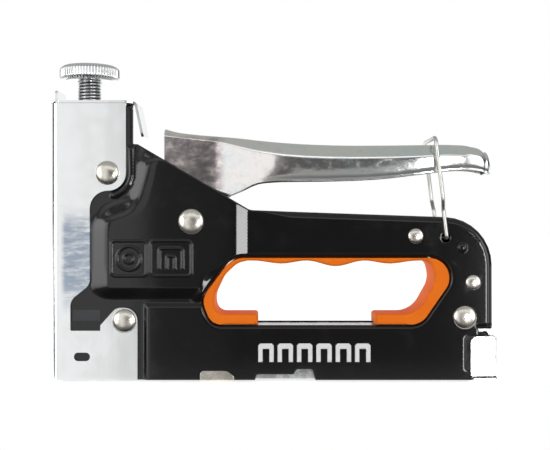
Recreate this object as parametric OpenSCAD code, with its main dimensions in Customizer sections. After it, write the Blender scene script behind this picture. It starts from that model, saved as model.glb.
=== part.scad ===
// Staple gun with a folded steel body, a squeeze handle, a wire lock and a pull-out staple magazine.
// X runs along the tool with the nose at -X, Y across it and Z up. The origin is at the centre
// of the overall length and width, on the surface that the tool stands on.

/* [Overall] */
// Length over the nose lip and the magazine clip
overall_length = 174.6; // [150:0.1:210]
// Height of the nose housing's top edge
nose_height = 108.4; // [90:0.1:130]
// Height of the hand beam's top face at its rear end
beam_height = 64; // [60:1:72]
// Width over the body's flat side sheets
body_width = 17.6; // [16.8:0.1:21.2]
// Height of the body's bottom edge above the floor
ground_gap = 0.9; // [0.8:0.1:1.6]

/* [Body shells] */
// Thickness of the pressed shell sheet
shell_sheet = 1; // [0.8:0.1:1.2]
// Rise of the handle and lower panels above the flat side sheet
panel_rise = 1; // [0.6:0.1:1.4]
// Rise of the front plateau above the handle panels
plateau_rise = 1.1; // [0.6:0.1:1.6]
// Radius of the body's rear top corner
rear_radius = 19.7; // [16:0.1:24]
// Depth of the beam above the finger opening
beam_depth = 15.4; // [14:0.1:18]
// Height of the lower edge of the finger opening
opening_floor = 22.2; // [22:0.1:26]
// Wall of the rear post behind the finger opening
post_width = 16.9; // [16:0.1:22]

/* [Nose] */
// Length of the nose housing along X at its top
nose_length = 29.5; // [28:0.1:34]
// Thickness of the nose housing sheet
nose_sheet = 1; // [0.8:0.1:1.2]
// Radius of the housing's upright front corners
nose_radius = 2.4; // [1.6:0.1:3]
// Thickness of the front wear plate
wear_plate = 0.8; // [0.6:0.1:1]
// Thickness of the top plate
top_sheet = 1.1; // [0.8:0.1:1.4]
// Height of the upturned tab on the top plate
tab_height = 4.1; // [2:0.1:6]

/* [Finger grip] */
// Width of the rubber band at the opening's ends
grip_band = 4.4; // [3.6:0.1:5.2]
// Thickness of the rubber between the finger waves
grip_top = 1.3; // [1:0.1:2]
// Depth of each finger wave
wave_depth = 2.2; // [0:0.1:3]
// How far the rubber stands out of the panels
grip_proud = 0.3; // [0.1:0.1:0.6]

/* [Squeeze handle] */
// Width of the handle at the palm
handle_width = 22.6; // [21:0.1:23]
// Air between the handle's cheeks and each shell
cheek_gap = 0.5; // [0.3:0.1:1]
// Thickness of the handle sheet
handle_sheet = 1.4; // [1:0.1:1.8]
// Air between the beam and the handle at rest
handle_gap = 12.6; // [11:0.1:16]
// Depth of the handle at the palm
handle_depth = 13.9; // [12:0.1:16]
// Radius of the pivot rivet's shank
pivot_radius = 2.4; // [2:0.1:2.8]
// Wall of the pivot bush
bush_wall = 1.4; // [1:0.1:1.8]
// Radius of the lift rollers at the inner arm's tip
roller_radius = 3; // [2.4:0.1:3.4]

/* [Lock bail] */
// Diameter of the bail wire
wire = 1.6; // [1.4:0.1:2]
// Air between the bail's path and the handle's tail
bail_air = 0.35; // [0.3:0.05:1]

/* [Tension screw] */
// Diameter of the knurled knob
knob_diameter = 23.4; // [20:0.1:25]
// Height of the knurled knob
knob_height = 6.1; // [5:0.1:8]
// Number of ribs round the knob
knob_ribs = 60; // [40:1:72]
// Diameter of the tension screw
screw_diameter = 9.5; // [7.8:0.1:10]
// Exposed screw between the top plate and the knob
screw_exposed = 8.4; // [7:0.1:12]
// Turning length of the screw below the top plate
screw_buried = 8.5; // [8:0.1:10]

/* [Striker] */
// Outer diameter of the main spring
spring_diameter = 11.8; // [10:0.1:12]
// Diameter of the main spring's wire
spring_wire = 1.8; // [1.4:0.1:2]
// Height of the plunger
plunger_height = 35.6; // [32:0.1:38]
// Thickness of the driver blade
blade_sheet = 1; // [0.8:0.1:1.2]
// Width of the driver blade, the width of a staple's crown
blade_width = 11.2; // [10.6:0.1:11.6]

/* [Magazine] */
// Height of the magazine channel's top
channel_top = 21.7; // [18:0.1:22]
// Thickness of the magazine sheets
magazine_sheet = 0.9; // [0.7:0.1:1.1]
// Width of the staple rail
rail_width = 9.4; // [9:0.1:9.8]
// Diameter of the pusher's guide rod
rod_diameter = 2.6; // [2:0.1:3]
// Travel of the magazine drawer and of the staple pusher
magazine_travel = 100; // [70:1:120]

/* [Fasteners] */
// Diameter of a large rivet's head
large_head = 9.3; // [8.4:0.1:10]
// Diameter of the pivot rivet's head
pivot_head = 10; // [9:0.1:11]
// Diameter of a small rivet's head
small_head = 6; // [5:0.1:7]
// Height of a large rivet's dome
dome_height = 1.9; // [1.4:0.1:2.4]
// Radius of a rivet's shank
rivet_shank = 1.8; // [1.4:0.1:1.9]

/* [Fits] */
// Radial running clearance of what turns or slides in a bore
running = 0.05; // [0.02:0.01:0.1]
// Gap between fixed pieces that lie against each other
lap = 0.05; // [0.02:0.01:0.1]
// Gap between sliding pieces
slide_gap = 0.3; // [0.2:0.05:0.4]

/* [Hidden] */
$fn = 48;

// Steps in each rounded corner of an outline
corner_steps = 8;
// A little more than nothing, so that cuts pass right through
past = 1;

// Ends of the tool and its side levels
front_x = -overall_length / 2;
rear_x = overall_length / 2;
side_y = body_width / 2;
inner_y = side_y - shell_sheet;
panel_y = side_y + panel_rise;
plateau_y = panel_y + plateau_rise;
housing_y = side_y + lap + nose_sheet;

// Nose: the housing stands behind the lip of the wear plate
housing_front = front_x + 0.5;
housing_rear = housing_front + nose_length - 0.5;
strip_rear = housing_rear + 2.5;
housing_neck = housing_front + 15;
window_front = housing_front + 7.5;
window_rear = window_front + 11.6;
foot_rear = housing_rear + 4.5;
shell_front = housing_front + 5.8;
wear_x = housing_front + nose_sheet + lap;
blade_x = wear_x + wear_plate + running;
guide_x = blade_x + blade_sheet + running;
spring_x = housing_front + 13.1;

// Heights on the nose
slope_top = nose_height - 15.8;
window_floor = 20.1;
window_top = 28.3;
upper_rivet_z = nose_height - 27.1;
neck_z = upper_rivet_z - 6.9;

// Pivot, opening and rear post
pivot_x = front_x + 54.9;
pivot_z = beam_height - 1.6;
beam_x = front_x + 77.6;
beam_front_z = beam_height + 2.9;
opening_top = beam_height - beam_depth;
opening_front = front_x + 59.7;
post_x = rear_x - 2.8;
opening_rear = post_x - post_width;
tail_floor = channel_top - 1.1;
clip_top = tail_floor - 2.9;
notch_top = clip_top + slide_gap;
clip_x = rear_x - 11.3;

// Rivet places
upper_rivet = [housing_front + 21.8, upper_rivet_z];
lower_rivet = [housing_front + 28.45, 23.9];
rear_rivet = [rear_x - 13.8, tail_floor + 4.7];
beam_rivet = [rear_x - 32.8, beam_height - 7.2];
post_rivet = [rear_x - 10.5, 38.8];

// Handle: top and underside over the palm
palm_floor = beam_height + handle_gap + 2.1;
palm_top = palm_floor + handle_depth;
lever_front = front_x + 44.1;
tail_x = rear_x - 2.3;
bush_radius = pivot_radius + running + bush_wall;
cheek_y = inner_y - cheek_gap;

// Bail: foot, reach and width
foot = [rear_x - 20.9, beam_height - 7.8];
tail_crown = [tail_x - 7.2, palm_top - 0.6];
tail_reach = norm(tail_crown - foot) + 0.15;
bail_reach = tail_reach + bail_air + wire / 2;
bail_lean = -7;
bail_low_y = panel_y + wire / 2 + 0.25;
bail_high_y = handle_width / 2 + 0.9 + wire / 2;

// Striker train
plunger_floor = window_top + lap;
plunger_top = plunger_floor + plunger_height;
shelf_z = plunger_floor + 27.6;
roller = [spring_x + 1.8, shelf_z - roller_radius - 0.1];
screw_radius = screw_diameter / 2;
cap_top = nose_height - screw_buried;
cap_floor = cap_top - 2.4;
knob_floor = nose_height + top_sheet + screw_exposed;
plunger_y = inner_y - 0.8;
arm_y = 1.5;

// Magazine
channel_y = inner_y - lap;
channel_front = guide_x + 3.6;
channel_rear = rear_x - 14;
rail_y = rail_width / 2;
rail_top = channel_top - 2.6;
rail_floor = 2.6;
rail_front = channel_front + 0.4;
clip_back = rear_x - 2.1;
rod_z = rail_top - 6.7;
pusher_front = rail_front + 0.6;
pusher_length = 20;
clip_y = side_y + lap + 1;
catch_x = rear_x - 8.6;
catch_floor = rail_top - 2.5;

// Point at an angle in degrees on a circle
function on_circle(centre, r, a) = centre + r * [cos(a), sin(a)];
function unit(v) = v / norm(v);
// Turn that brings angle a to the nearest value to b
function near_turn(a, b) = a - 360 * round((a - b) / 360);
// Corner at point b between a and c as an arc of radius r that touches both lines
function corner(a, b, c, r, n = corner_steps) =
    let (u = unit(a - b), v = unit(c - b), half = acos(max(-1, min(1, u * v))) / 2)
    r <= 0 || half > 89.5 ? [b] :
    let (m = b + unit(u + v) * r / sin(half), s = b + u * r / tan(half) - m, e = b + v * r / tan(half) - m)
    let (a0 = atan2(s.y, s.x), a1 = near_turn(atan2(e.y, e.x), a0))
    [for (i = [0:n]) on_circle(m, r, a0 + (a1 - a0) * i / n)];
// Closed outline from corners given as [x, z, radius]
function rounded(p, n = corner_steps) = [
    for (i = [0:len(p) - 1])
        let (a = p[(i + len(p) - 1) % len(p)], b = p[i], c = p[(i + 1) % len(p)])
        each corner([a.x, a.y], [b.x, b.y], [c.x, c.y], b.z, n)
];

// Extrudes a side outline, drawn in X and Z, from y0 to y1
module side(y0, y1) {
    translate([0, y1, 0]) rotate([90, 0, 0]) linear_extrude(y1 - y0) children();
}
// Cylinder across the tool at an X and Z place
module across(place, r, y0, y1) {
    translate([place.x, y1, place.y]) rotate([90, 0, 0]) cylinder(r = r, h = y1 - y0);
}
// Spherical cap of radius r and height h that stands on z = 0
module dome(r, h) {
    big = (r * r + h * h) / (2 * h);
    intersection() {
        translate([0, 0, h - big]) sphere(big, $fn = 96);
        cylinder(r = r, h = h + past);
    }
}
// Rivet across the tool, with a dome on each side whose flat lies at y = level
module rivet(place, shank, head, height, level) {
    across(place, shank, -level, level);
    for (s = [-1, 1]) translate([place.x, s * level, place.y])
        rotate([-s * 90, 0, 0]) dome(head / 2, height);
}
// Coil of round wire along +Z, closed at both ends
module coil(r, wire_r, turns, height, sides = 8, steps = 20) {
    count = round(turns * steps);
    points = [
        for (i = [0:count], k = [0:sides - 1])
            let (a = 360 * i / steps, z = wire_r + (height - 2 * wire_r) * i / count, b = 360 * k / sides)
            [(r + wire_r * cos(b)) * cos(a), (r + wire_r * cos(b)) * sin(a), z + wire_r * sin(b)]
    ];
    walls = [
        for (i = [0:count - 1], k = [0:sides - 1])
            let (m = i * sides + k, n = i * sides + (k + 1) % sides)
            each [[m, m + sides, n], [n, m + sides, n + sides]]
    ];
    ends = [[for (k = [0:sides - 1]) k], [for (k = [sides - 1:-1:0]) count * sides + k]];
    polyhedron(points, concat(walls, ends), convexity = 10);
}

// Body shells -----------------------------------------------------------------------------

function shell_outline() = rounded([
    [shell_front, ground_gap, 0], [shell_front, nose_height - 0.9, 0], [strip_rear, nose_height - 0.9, 2.2],
    [strip_rear, slope_top, 0.6], [strip_rear + 1.8, slope_top, 1.5], [beam_x, beam_front_z, 5],
    [post_x, beam_height - 0.4, rear_radius - 1], [post_x + 0.1, tail_floor, 0.8],
    [rear_x - 8.3, tail_floor, 0.5], [rear_x - 8.3, notch_top, 0], [rear_x - 13.6, notch_top, 1.5],
    [rear_x - 13.6, 4.6, 1.5], [rear_x - 10, 4.6, 0], [rear_x - 10, ground_gap, 1]
]);
function opening_outline() = rounded([
    [opening_front + 10.6, opening_top, 10], [opening_front - 1.2, 32.5, 7],
    [opening_front + 2.6, opening_floor, 6],
    [opening_rear - 10.8, opening_floor, 8], [opening_rear + 0.3, 38.3, 7], [opening_rear, opening_top, 8]
]);
// Front plateau, which stands highest and carries the pivot
function plateau_outline() = rounded([
    [front_x + 22.3, neck_z - 14, 2], [front_x + 22.3, 31.5, 3], [opening_front - 3, 31.5, 6],
    [opening_front - 1.5, 40, 8], [beam_x - 15, opening_top + 2, 6], [beam_x - 2.5, opening_top + 3, 4],
    [beam_x - 2.5, beam_front_z - 3, 4], [front_x + 39.5, slope_top - 5.4, 5],
    [front_x + 38, neck_z + 1, 8], [front_x + 30, neck_z - 8, 4]
]);
// Handle panels: the beam, the rear post and the lower side
function panel_outline() = rounded([
    [foot_rear + 2, ground_gap + 0.6, 1], [foot_rear + 2, 30.7, 3], [beam_x - 8, 30.7, 0],
    [beam_x - 8, beam_front_z - 1.5, 3], [post_x - 1.2, beam_height - 1.6, rear_radius - 2],
    [post_x - 1.1, tail_floor + 1, 1], [rear_x - 14.8, tail_floor + 1, 1], [rear_x - 14.8, ground_gap + 0.6, 1]
]);
module body_holes() {
    for (p = [upper_rivet, lower_rivet, rear_rivet, beam_rivet, post_rivet])
        across(p, rivet_shank + lap, 0, plateau_y + past);
    across([pivot_x, pivot_z], pivot_radius + lap, 0, plateau_y + past);
    across(foot, wire / 2 + running, 0, plateau_y + past);
    side(0, plateau_y + past) polygon(opening_outline());
    side(0, side_y + past) polygon([
        for (c = [[window_front, window_floor], [window_rear, window_floor],
            [window_rear, window_top + 0.2], [window_front, window_top + 0.2]]) c
    ]);
}
// Raised panel: a skin that keeps the sheet's thickness
module raised(outline, level, below) {
    difference() {
        side(below, level) polygon(outline);
        side(below - shell_sheet, level - shell_sheet) offset(delta = -shell_sheet) polygon(outline);
    }
}
module shell_half() {
    difference() {
        union() {
            difference() {
                side(inner_y, side_y) polygon(shell_outline());
                side(inner_y - past, side_y + past) offset(delta = -shell_sheet) polygon(panel_outline());
                side(inner_y - past, side_y + past) offset(delta = -shell_sheet) polygon(plateau_outline());
            }
            difference() {
                raised(panel_outline(), panel_y, inner_y);
                side(inner_y - past, plateau_y) offset(delta = -shell_sheet) polygon(plateau_outline());
            }
            raised(plateau_outline(), plateau_y, inner_y);
            // Rim that folds in along the beam and the rear post
            intersection() {
                side(0.1, side_y) difference() {
                    polygon(shell_outline());
                    offset(delta = -shell_sheet) polygon(shell_outline());
                }
                translate([beam_x + 4, 0, tail_floor - 0.1]) cube([overall_length, side_y, nose_height]);
            }
            // Lip that folds in round the finger opening, clear of the magazine channel
            difference() {
                side(inner_y - 2.4, panel_y) difference() {
                    offset(delta = shell_sheet) polygon(opening_outline());
                    polygon(opening_outline());
                }
                translate([opening_front - 9, 0, 0]) cube([overall_length, inner_y, channel_top + lap]);
            }
        }
        body_holes();
    }
}
module left_shell() {
    color([0.02, 0.02, 0.02]) mirror([0, 1, 0]) shell_half();
}
// The right half stops at the housing above the slope, so the strip behind the housing is single
module right_shell() {
    color([0.02, 0.02, 0.02]) difference() {
        shell_half();
        translate([housing_rear, -past, slope_top + 0.6]) cube([foot_rear, panel_y, nose_height]);
    }
}

// Rubber grip that lines the finger opening, with a wave for each finger
wave_count = 4;
function grip_inner() = concat(
    rounded([
        [opening_front + 16.5, opening_top - grip_top, 0], [opening_front + 8.6, opening_top - 7, 4],
        [opening_front + grip_band - 0.3, 35, 7],
        [opening_front + grip_band - 0.2, opening_floor + grip_band - 0.2, 3.5],
        [opening_rear - 12.6, opening_floor + grip_band - 0.2, 7], [opening_rear - 5.6, 39.3, 6],
        [opening_rear - 7.2, opening_top - grip_top, 3]
    ]),
    [for (i = [1:31])
        let (t = i / 32, fade = sin(180 * t))
        [opening_rear - 10 + (opening_front + 17 - opening_rear + 10) * t,
            opening_top - grip_top - wave_depth * fade * (1 - cos(360 * (wave_count - 1) * t)) / 2]]
);
module finger_grip() {
    color([1, 0.42, 0.02]) difference() {
        side(-panel_y - grip_proud, panel_y + grip_proud)
            offset(delta = -lap) polygon(opening_outline());
        side(-panel_y - past, panel_y + past) polygon(grip_inner());
        side(-panel_y - past, panel_y + past) polygon(rounded([
            [opening_front + 20.8, opening_floor - past, 0], [opening_front + 20.8, opening_floor + 7, 1],
            [opening_rear - 29, opening_floor + 7, 1], [opening_rear - 30, opening_floor - past, 0]
        ]));
    }
}

// Nose ------------------------------------------------------------------------------------

function housing_outline() = rounded([
    [housing_front, ground_gap, 0], [housing_front, nose_height, 0], [housing_rear, nose_height, 0.5],
    [housing_rear, neck_z, 6.9], [housing_neck, neck_z, 7], [housing_neck, 37.9, 4],
    [window_front, 31.9, 5], [window_front, window_floor, 0.5], [window_rear, window_floor, 0.4],
    [window_rear, 22.2, 1], [window_rear + 6.1, 29, 4], [foot_rear, 29, 5.1], [foot_rear, ground_gap, 0.3]
]);
// Rounded front of the housing seen from above, pulled in by t
module nose_plan(t) {
    x = housing_front + t;
    y = housing_y - t;
    r = max(nose_radius - t, 0.2);
    polygon(rounded([[x, -y, r], [x, y, r], [foot_rear + past, y, 0], [foot_rear + past, -y, 0]]));
}
module front_housing() {
    color([0.85, 0.87, 0.9]) difference() {
        intersection() {
            side(-housing_y, housing_y) polygon(housing_outline());
            translate([0, 0, ground_gap]) linear_extrude(nose_height) nose_plan(0);
        }
        translate([0, 0, ground_gap - past]) linear_extrude(nose_height + 2 * past) nose_plan(nose_sheet);
        for (p = [upper_rivet, lower_rivet])
            across(p, rivet_shank + lap, -housing_y - past, housing_y + past);
        // Obround sight slot on each side
        side(-housing_y - past, housing_y + past) {
            translate([housing_front + 12, 10]) square([2.2, 3.3], center = true);
            for (s = [-1, 1]) translate([housing_front + 12 + s * 1.1, 10]) circle(1.65);
        }
    }
}
// Wear plate inside the front wall; its top end curls forward over the wall
module front_plate() {
    half = side_y - 1.4;
    color([0.8, 0.82, 0.85]) {
        translate([wear_x, -half, ground_gap]) cube([wear_plate, 2 * half, nose_height - ground_gap + 0.6]);
        translate([front_x + 0.6, -half, nose_height + 0.6]) cube([wear_x - front_x, 2 * half, 0.5]);
        intersection() {
            across([front_x + 0.6, nose_height + 0.5], 0.6, -half, half);
            translate([front_x - past, -half, nose_height + 0.2]) cube([1.6 + past, 2 * half, 2]);
        }
    }
}
// Top plate with an upturned front tab and a tongue folded down behind the shells
module top_plate() {
    tab_y = side_y - 1;
    tongue_y = side_y - 0.4;
    bend = strip_rear + 1.2;
    color([0.86, 0.88, 0.9]) difference() {
        union() {
            translate([wear_x + wear_plate + lap, -housing_y, nose_height])
                cube([strip_rear - 1.6 - wear_x - wear_plate, 2 * housing_y, top_sheet]);
            translate([wear_x + wear_plate + lap, -tab_y, nose_height]) cube([1, 2 * tab_y, top_sheet + tab_height]);
            side(-tongue_y, tongue_y) polygon(rounded([
                [strip_rear - 2, nose_height, 0], [strip_rear - 2, nose_height + top_sheet, 0],
                [bend, nose_height + top_sheet - 0.3, 2.2], [bend + 2.9, nose_height - 12.6, 0.3],
                [bend + 2, nose_height - 12.8, 0.3], [bend - 0.7, nose_height, 1.2]
            ]));
        }
        translate([spring_x, 0, nose_height - past]) cylinder(r = screw_radius + 0.4, h = top_sheet + 2 * past);
    }
}
// Fixed nut under the top plate; the screw turns in it
module thread_nut() {
    color([0.7, 0.7, 0.72]) translate([spring_x, 0, nose_height - 4]) difference() {
        translate([-6.9, -6.9, 0]) cube([13.8, 13.8, 4 - lap]);
        translate([0, 0, -past]) cylinder(r = screw_radius + running, h = 4 + 2 * past);
    }
}
// Grey block that stops the plunger; its ears show in the housing's window
module striker_buffer() {
    color([0.2, 0.21, 0.22]) difference() {
        union() {
            side(-side_y - lap, side_y + lap) polygon(rounded([
                [window_front + 0.2, window_floor + 0.2, 0.4], [window_rear - 0.2, window_floor + 0.2, 0.4],
                [window_rear - 0.2, window_top, 0.6], [window_front + 0.2, window_top, 0.6]
            ], 4));
            // Middle part that reaches down to the magazine channel
            translate([window_front + 0.6, -inner_y + lap, channel_top])
                cube([window_rear - window_front - 1.2, 2 * (inner_y - lap), window_top - 1 - channel_top]);
        }
        translate([window_front - past, -inner_y - lap, 0]) cube([window_rear - window_front + 2 * past,
            2 * (inner_y + lap), channel_top + lap]);
    }
}
// Two cheeks that guide the driver blade, joined above the staples by a bridge
module blade_guide() {
    half = blade_width / 2 + running;
    color([0.6, 0.61, 0.63]) {
        for (s = [-1, 1]) scale_y(s)
            translate([wear_x + wear_plate + lap, half, ground_gap])
                cube([channel_front - wear_x - wear_plate - 2 * lap,
                inner_y - lap - half, 24]);
        translate([guide_x, -half - 0.1, channel_top - 2])
            cube([channel_front - guide_x - lap, 2 * half + 0.2, 5.2]);
    }
}
module scale_y(s) {
    if (s < 0) mirror([0, 1, 0]) children(); else children();
}

// Magazine --------------------------------------------------------------------------------

module magazine_channel() {
    color([0.8, 0.81, 0.83]) difference() {
        translate([channel_front, -channel_y, ground_gap + 0.4])
            cube([channel_rear - channel_front, 2 * channel_y, channel_top - ground_gap - 0.4]);
        translate([channel_front - past, -channel_y + magazine_sheet, -past])
            cube([channel_rear - channel_front + 2 * past, 2 * (channel_y - magazine_sheet),
                channel_top - magazine_sheet + past]);
    }
}
// Clip that ties both shells together under the magazine
module magazine_bridge() {
    inner = panel_y + lap;
    x = front_x + 58.3;
    color([0.85, 0.86, 0.88]) {
        translate([x, -inner - 0.8, 0]) cube([13.2, 2 * inner + 1.6, ground_gap - lap]);
        for (s = [-1, 1]) scale_y(s) side(inner, inner + 0.8)
            polygon(rounded([[x, 0.4, 0], [x, 5, 2], [x + 13.2, 3, 0.6], [x + 13.2, 0.4, 0]]));
    }
}
// Staple rail of the drawer, with a slot along its top for the pusher
module magazine_rail() {
    length = clip_back - rail_front;
    color([0.78, 0.79, 0.8]) difference() {
        translate([rail_front, -rail_y, rail_floor]) cube([length, rail_width, rail_top - rail_floor]);
        translate([rail_front - past, -rail_y + magazine_sheet, rail_floor - past])
            cube([length + 2 * past, rail_width - 2 * magazine_sheet,
                rail_top - rail_floor - magazine_sheet + past]);
        translate([rail_front - past, -1.5, rail_top - 2]) cube([length - 12, 3, 4]);
        translate([catch_x - slide_gap, -rail_y - past, catch_floor - slide_gap])
            cube([length, rail_width + 2 * past, rail_top]);
    }
}
module guide_rod() {
    color([0.75, 0.76, 0.78]) translate([rail_front + 0.5, 0, rod_z]) rotate([0, 90, 0])
        cylinder(d = rod_diameter, h = clip_back + 0.5 - rail_front);
}
// Nut that holds the rod in the drawer's rear wall
module rod_nut() {
    color([0.7, 0.71, 0.73]) translate([clip_back - 3 - lap, 0, rod_z]) rotate([0, 90, 0]) difference() {
        cylinder(r = 3, h = 3, $fn = 6);
        translate([0, 0, -past]) cylinder(r = rod_diameter / 2 + lap, h = 3 + 2 * past);
    }
}
// Folded rear clip of the drawer: two ears, a back wall and the lower pull lip
module rear_clip() {
    color([0.9, 0.91, 0.93]) difference() {
        union() {
            translate([clip_back + lap, -clip_y, 1]) cube([1, 2 * clip_y, clip_top - 1]);
            for (s = [-1, 1]) scale_y(s) side(clip_y - 1, clip_y)
                polygon(rounded([
                    [clip_x, 2.6, 0.6], [clip_x, clip_top, 2.4],
                    [clip_back + 0.5, clip_top, 0], [clip_back + 0.5, 2.6, 0]
                ]));
            translate([clip_x + 1, -clip_y + 2, 0]) cube([rear_x - clip_x - 1, 2 * clip_y - 4, 1.2]);
        }
        translate([clip_back - past, 0, rod_z]) rotate([0, 90, 0])
            cylinder(r = rod_diameter / 2 + lap, h = 2 + 2 * past);
    }
}
// Bent catch on the clip that snaps under the rear post
module rear_catch() {
    x = catch_x;
    z = catch_floor;
    color([0.82, 0.83, 0.84]) side(-5, 5) polygon(rounded([
        [x, z, 0], [x, z + 3.7, 0.4], [x + 5, z + 3.7, 0.6], [x + 6.4, z + 1.8, 0.5],
        [clip_back, z + 1.8, 0], [clip_back, z + 1, 0], [x + 5.6, z + 1, 0.4],
        [x + 4.4, z + 2.9, 0.3], [x + 0.8, z + 2.9, 0.2], [x + 0.8, z, 0]
    ], 4));
}
// Saddle on the rail that pushes the staples, with a lug on the rod
module pusher() {
    wall = 0.8;
    out_y = rail_y + slide_gap + wall;
    z = rail_top + slide_gap;
    color([0.75, 0.76, 0.78]) difference() {
        union() {
            translate([pusher_front, -out_y, rail_floor + 3])
                cube([pusher_length, 2 * out_y, z + wall - rail_floor - 3]);
        }
        translate([pusher_front - past, -rail_y - slide_gap, -past])
            cube([pusher_length + 2 * past, rail_width + 2 * slide_gap, z + past]);
    }
    color([0.75, 0.76, 0.78]) difference() {
        union() {
            translate([pusher_front + 6, -1.2, rod_z]) cube([8, 2.4, z + 0.2 - rod_z]);
            translate([pusher_front + 6, 0, rod_z]) rotate([0, 90, 0]) cylinder(r = 3.1, h = 8);
        }
        translate([pusher_front, 0, rod_z]) rotate([0, 90, 0])
            cylinder(r = rod_diameter / 2 + running, h = pusher_length);
    }
}
module pusher_spring() {
    x = pusher_front + 14.1;
    color([0.6, 0.6, 0.62]) translate([x, 0, rod_z]) rotate([0, 90, 0])
        coil(2.4, 0.35, 34, clip_back - 3.2 - x, 5, 12);
}

// Tension screw and striker ---------------------------------------------------------------

module tension_knob() {
    r = knob_diameter / 2;
    color([0.88, 0.89, 0.9]) translate([spring_x, 0, knob_floor]) difference() {
        union() {
            cylinder(r = r - 0.3, h = knob_height);
            translate([0, 0, 0.5]) intersection() {
                cylinder(r = r, h = knob_height - 1);
                linear_extrude(knob_height - 1) polygon([
                    for (i = [0:2 * knob_ribs - 1])
                        on_circle([0, 0], i % 2 == 0 ? r : r - 0.45, 180 * i / knob_ribs)
                ]);
            }
        }
        translate([0, 0, -past]) cylinder(r = screw_radius + lap, h = knob_height - 2 + past);
    }
}
module tension_screw() {
    color([0.8, 0.81, 0.83]) translate([spring_x, 0, cap_top + lap])
        cylinder(r = screw_radius, h = knob_floor + knob_height - 2 - cap_top - 2 * lap);
}
module spring_cap() {
    color([0.7, 0.7, 0.72]) translate([spring_x, 0, cap_floor]) {
        cylinder(r = spring_diameter / 2 + 0.3, h = cap_top - cap_floor);
        translate([0, 0, -3]) cylinder(r = spring_diameter / 2 - spring_wire - 0.4, h = 3.5);
    }
}
module main_spring() {
    color([0.55, 0.55, 0.57]) translate([spring_x, 0, plunger_top + 0.1])
        coil((spring_diameter - spring_wire) / 2, spring_wire / 2, 8, cap_floor - plunger_top - 0.2);
}
// Folded plunger: front wall, two sides, a spring seat, a shelf that the rollers lift and a foot
module plunger() {
    x0 = guide_x + 0.2;
    x1 = window_rear - 0.4;
    color([0.5, 0.51, 0.53]) difference() {
        translate([0, -plunger_y, 0]) {
            translate([x0, 0, plunger_floor]) cube([1.4, 2 * plunger_y, plunger_height]);
            for (y = [0, 2 * plunger_y - 1.2])
                translate([x0, y, plunger_floor]) cube([x1 - x0, 1.2, plunger_height]);
            for (z = [plunger_floor, shelf_z, plunger_top - 2])
                translate([x0, 0, z]) cube([x1 - x0, 2 * plunger_y, 2]);
        }
        // Slot in the shelf for the arm between the rollers
        translate([roller.x - 6, -arm_y - slide_gap, shelf_z - past])
            cube([20, 2 * (arm_y + slide_gap), 2 + 2 * past]);
    }
}
module driver_blade() {
    color([0.6, 0.61, 0.63]) difference() {
        translate([blade_x, -blade_width / 2, ground_gap + 0.8])
            cube([blade_sheet, blade_width, plunger_top - 8]);
        for (z = [plunger_floor + 8, plunger_floor + 18]) translate([blade_x - past, 0, z]) rotate([0, 90, 0])
            cylinder(r = 1.5, h = blade_sheet + 2 * past);
    }
}
// Pins that hang the blade on the plunger's front wall
module blade_pins() {
    color([0.65, 0.65, 0.67]) for (z = [plunger_floor + 8, plunger_floor + 18])
        translate([blade_x, 0, z]) rotate([0, 90, 0]) cylinder(r = 1.45, h = blade_sheet + running + 0.15);
}

// Squeeze handle --------------------------------------------------------------------------

// Top line and underline of the handle at its stations: [x, top, shoulder, floor, half width]
stations = [
    [lever_front, palm_top + 5.4, palm_top + 3, beam_front_z + 14, cheek_y],
    [lever_front + 8, palm_top + 3.9, palm_top + 1.5, beam_front_z + 12, cheek_y],
    [beam_x - 14, palm_top + 3.4, palm_top - 1, beam_front_z + 9, cheek_y + 0.3],
    [beam_x - 1, palm_top + 2, palm_top - 4.4, palm_floor - 1.6, handle_width / 2 - 1.2],
    [beam_x + 16, palm_top + 0.2, palm_top - 6.6, palm_floor, handle_width / 2],
    [beam_x + 57, palm_top, palm_top - 7, palm_floor + 1, handle_width / 2],
    [tail_x - 14, palm_top - 0.1, palm_top - 5.6, palm_floor + 4.4, handle_width / 2 - 0.6],
    [tail_x - 0.8, palm_top - 5.6, palm_top - 8, palm_floor + 3, handle_width / 2 - 3.4]
];
// Thin upright slice of the handle, crowned above its shoulder
module slice(s, t) {
    translate([s[0], 0, 0]) rotate([90, 0, 90]) linear_extrude(0.2) polygon(concat(
        [[-s[4] + t, s[3]], [s[4] - t, s[3]]],
        [for (a = [0:15:180]) [(s[4] - t) * cos(a), s[2] + (s[1] - s[2] - t) * sin(a)]]
    ));
}
module crown(from, to, t) {
    for (i = [from:to - 1]) hull() {
        slice(stations[i], t);
        slice(stations[i + 1], t);
    }
}
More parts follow.
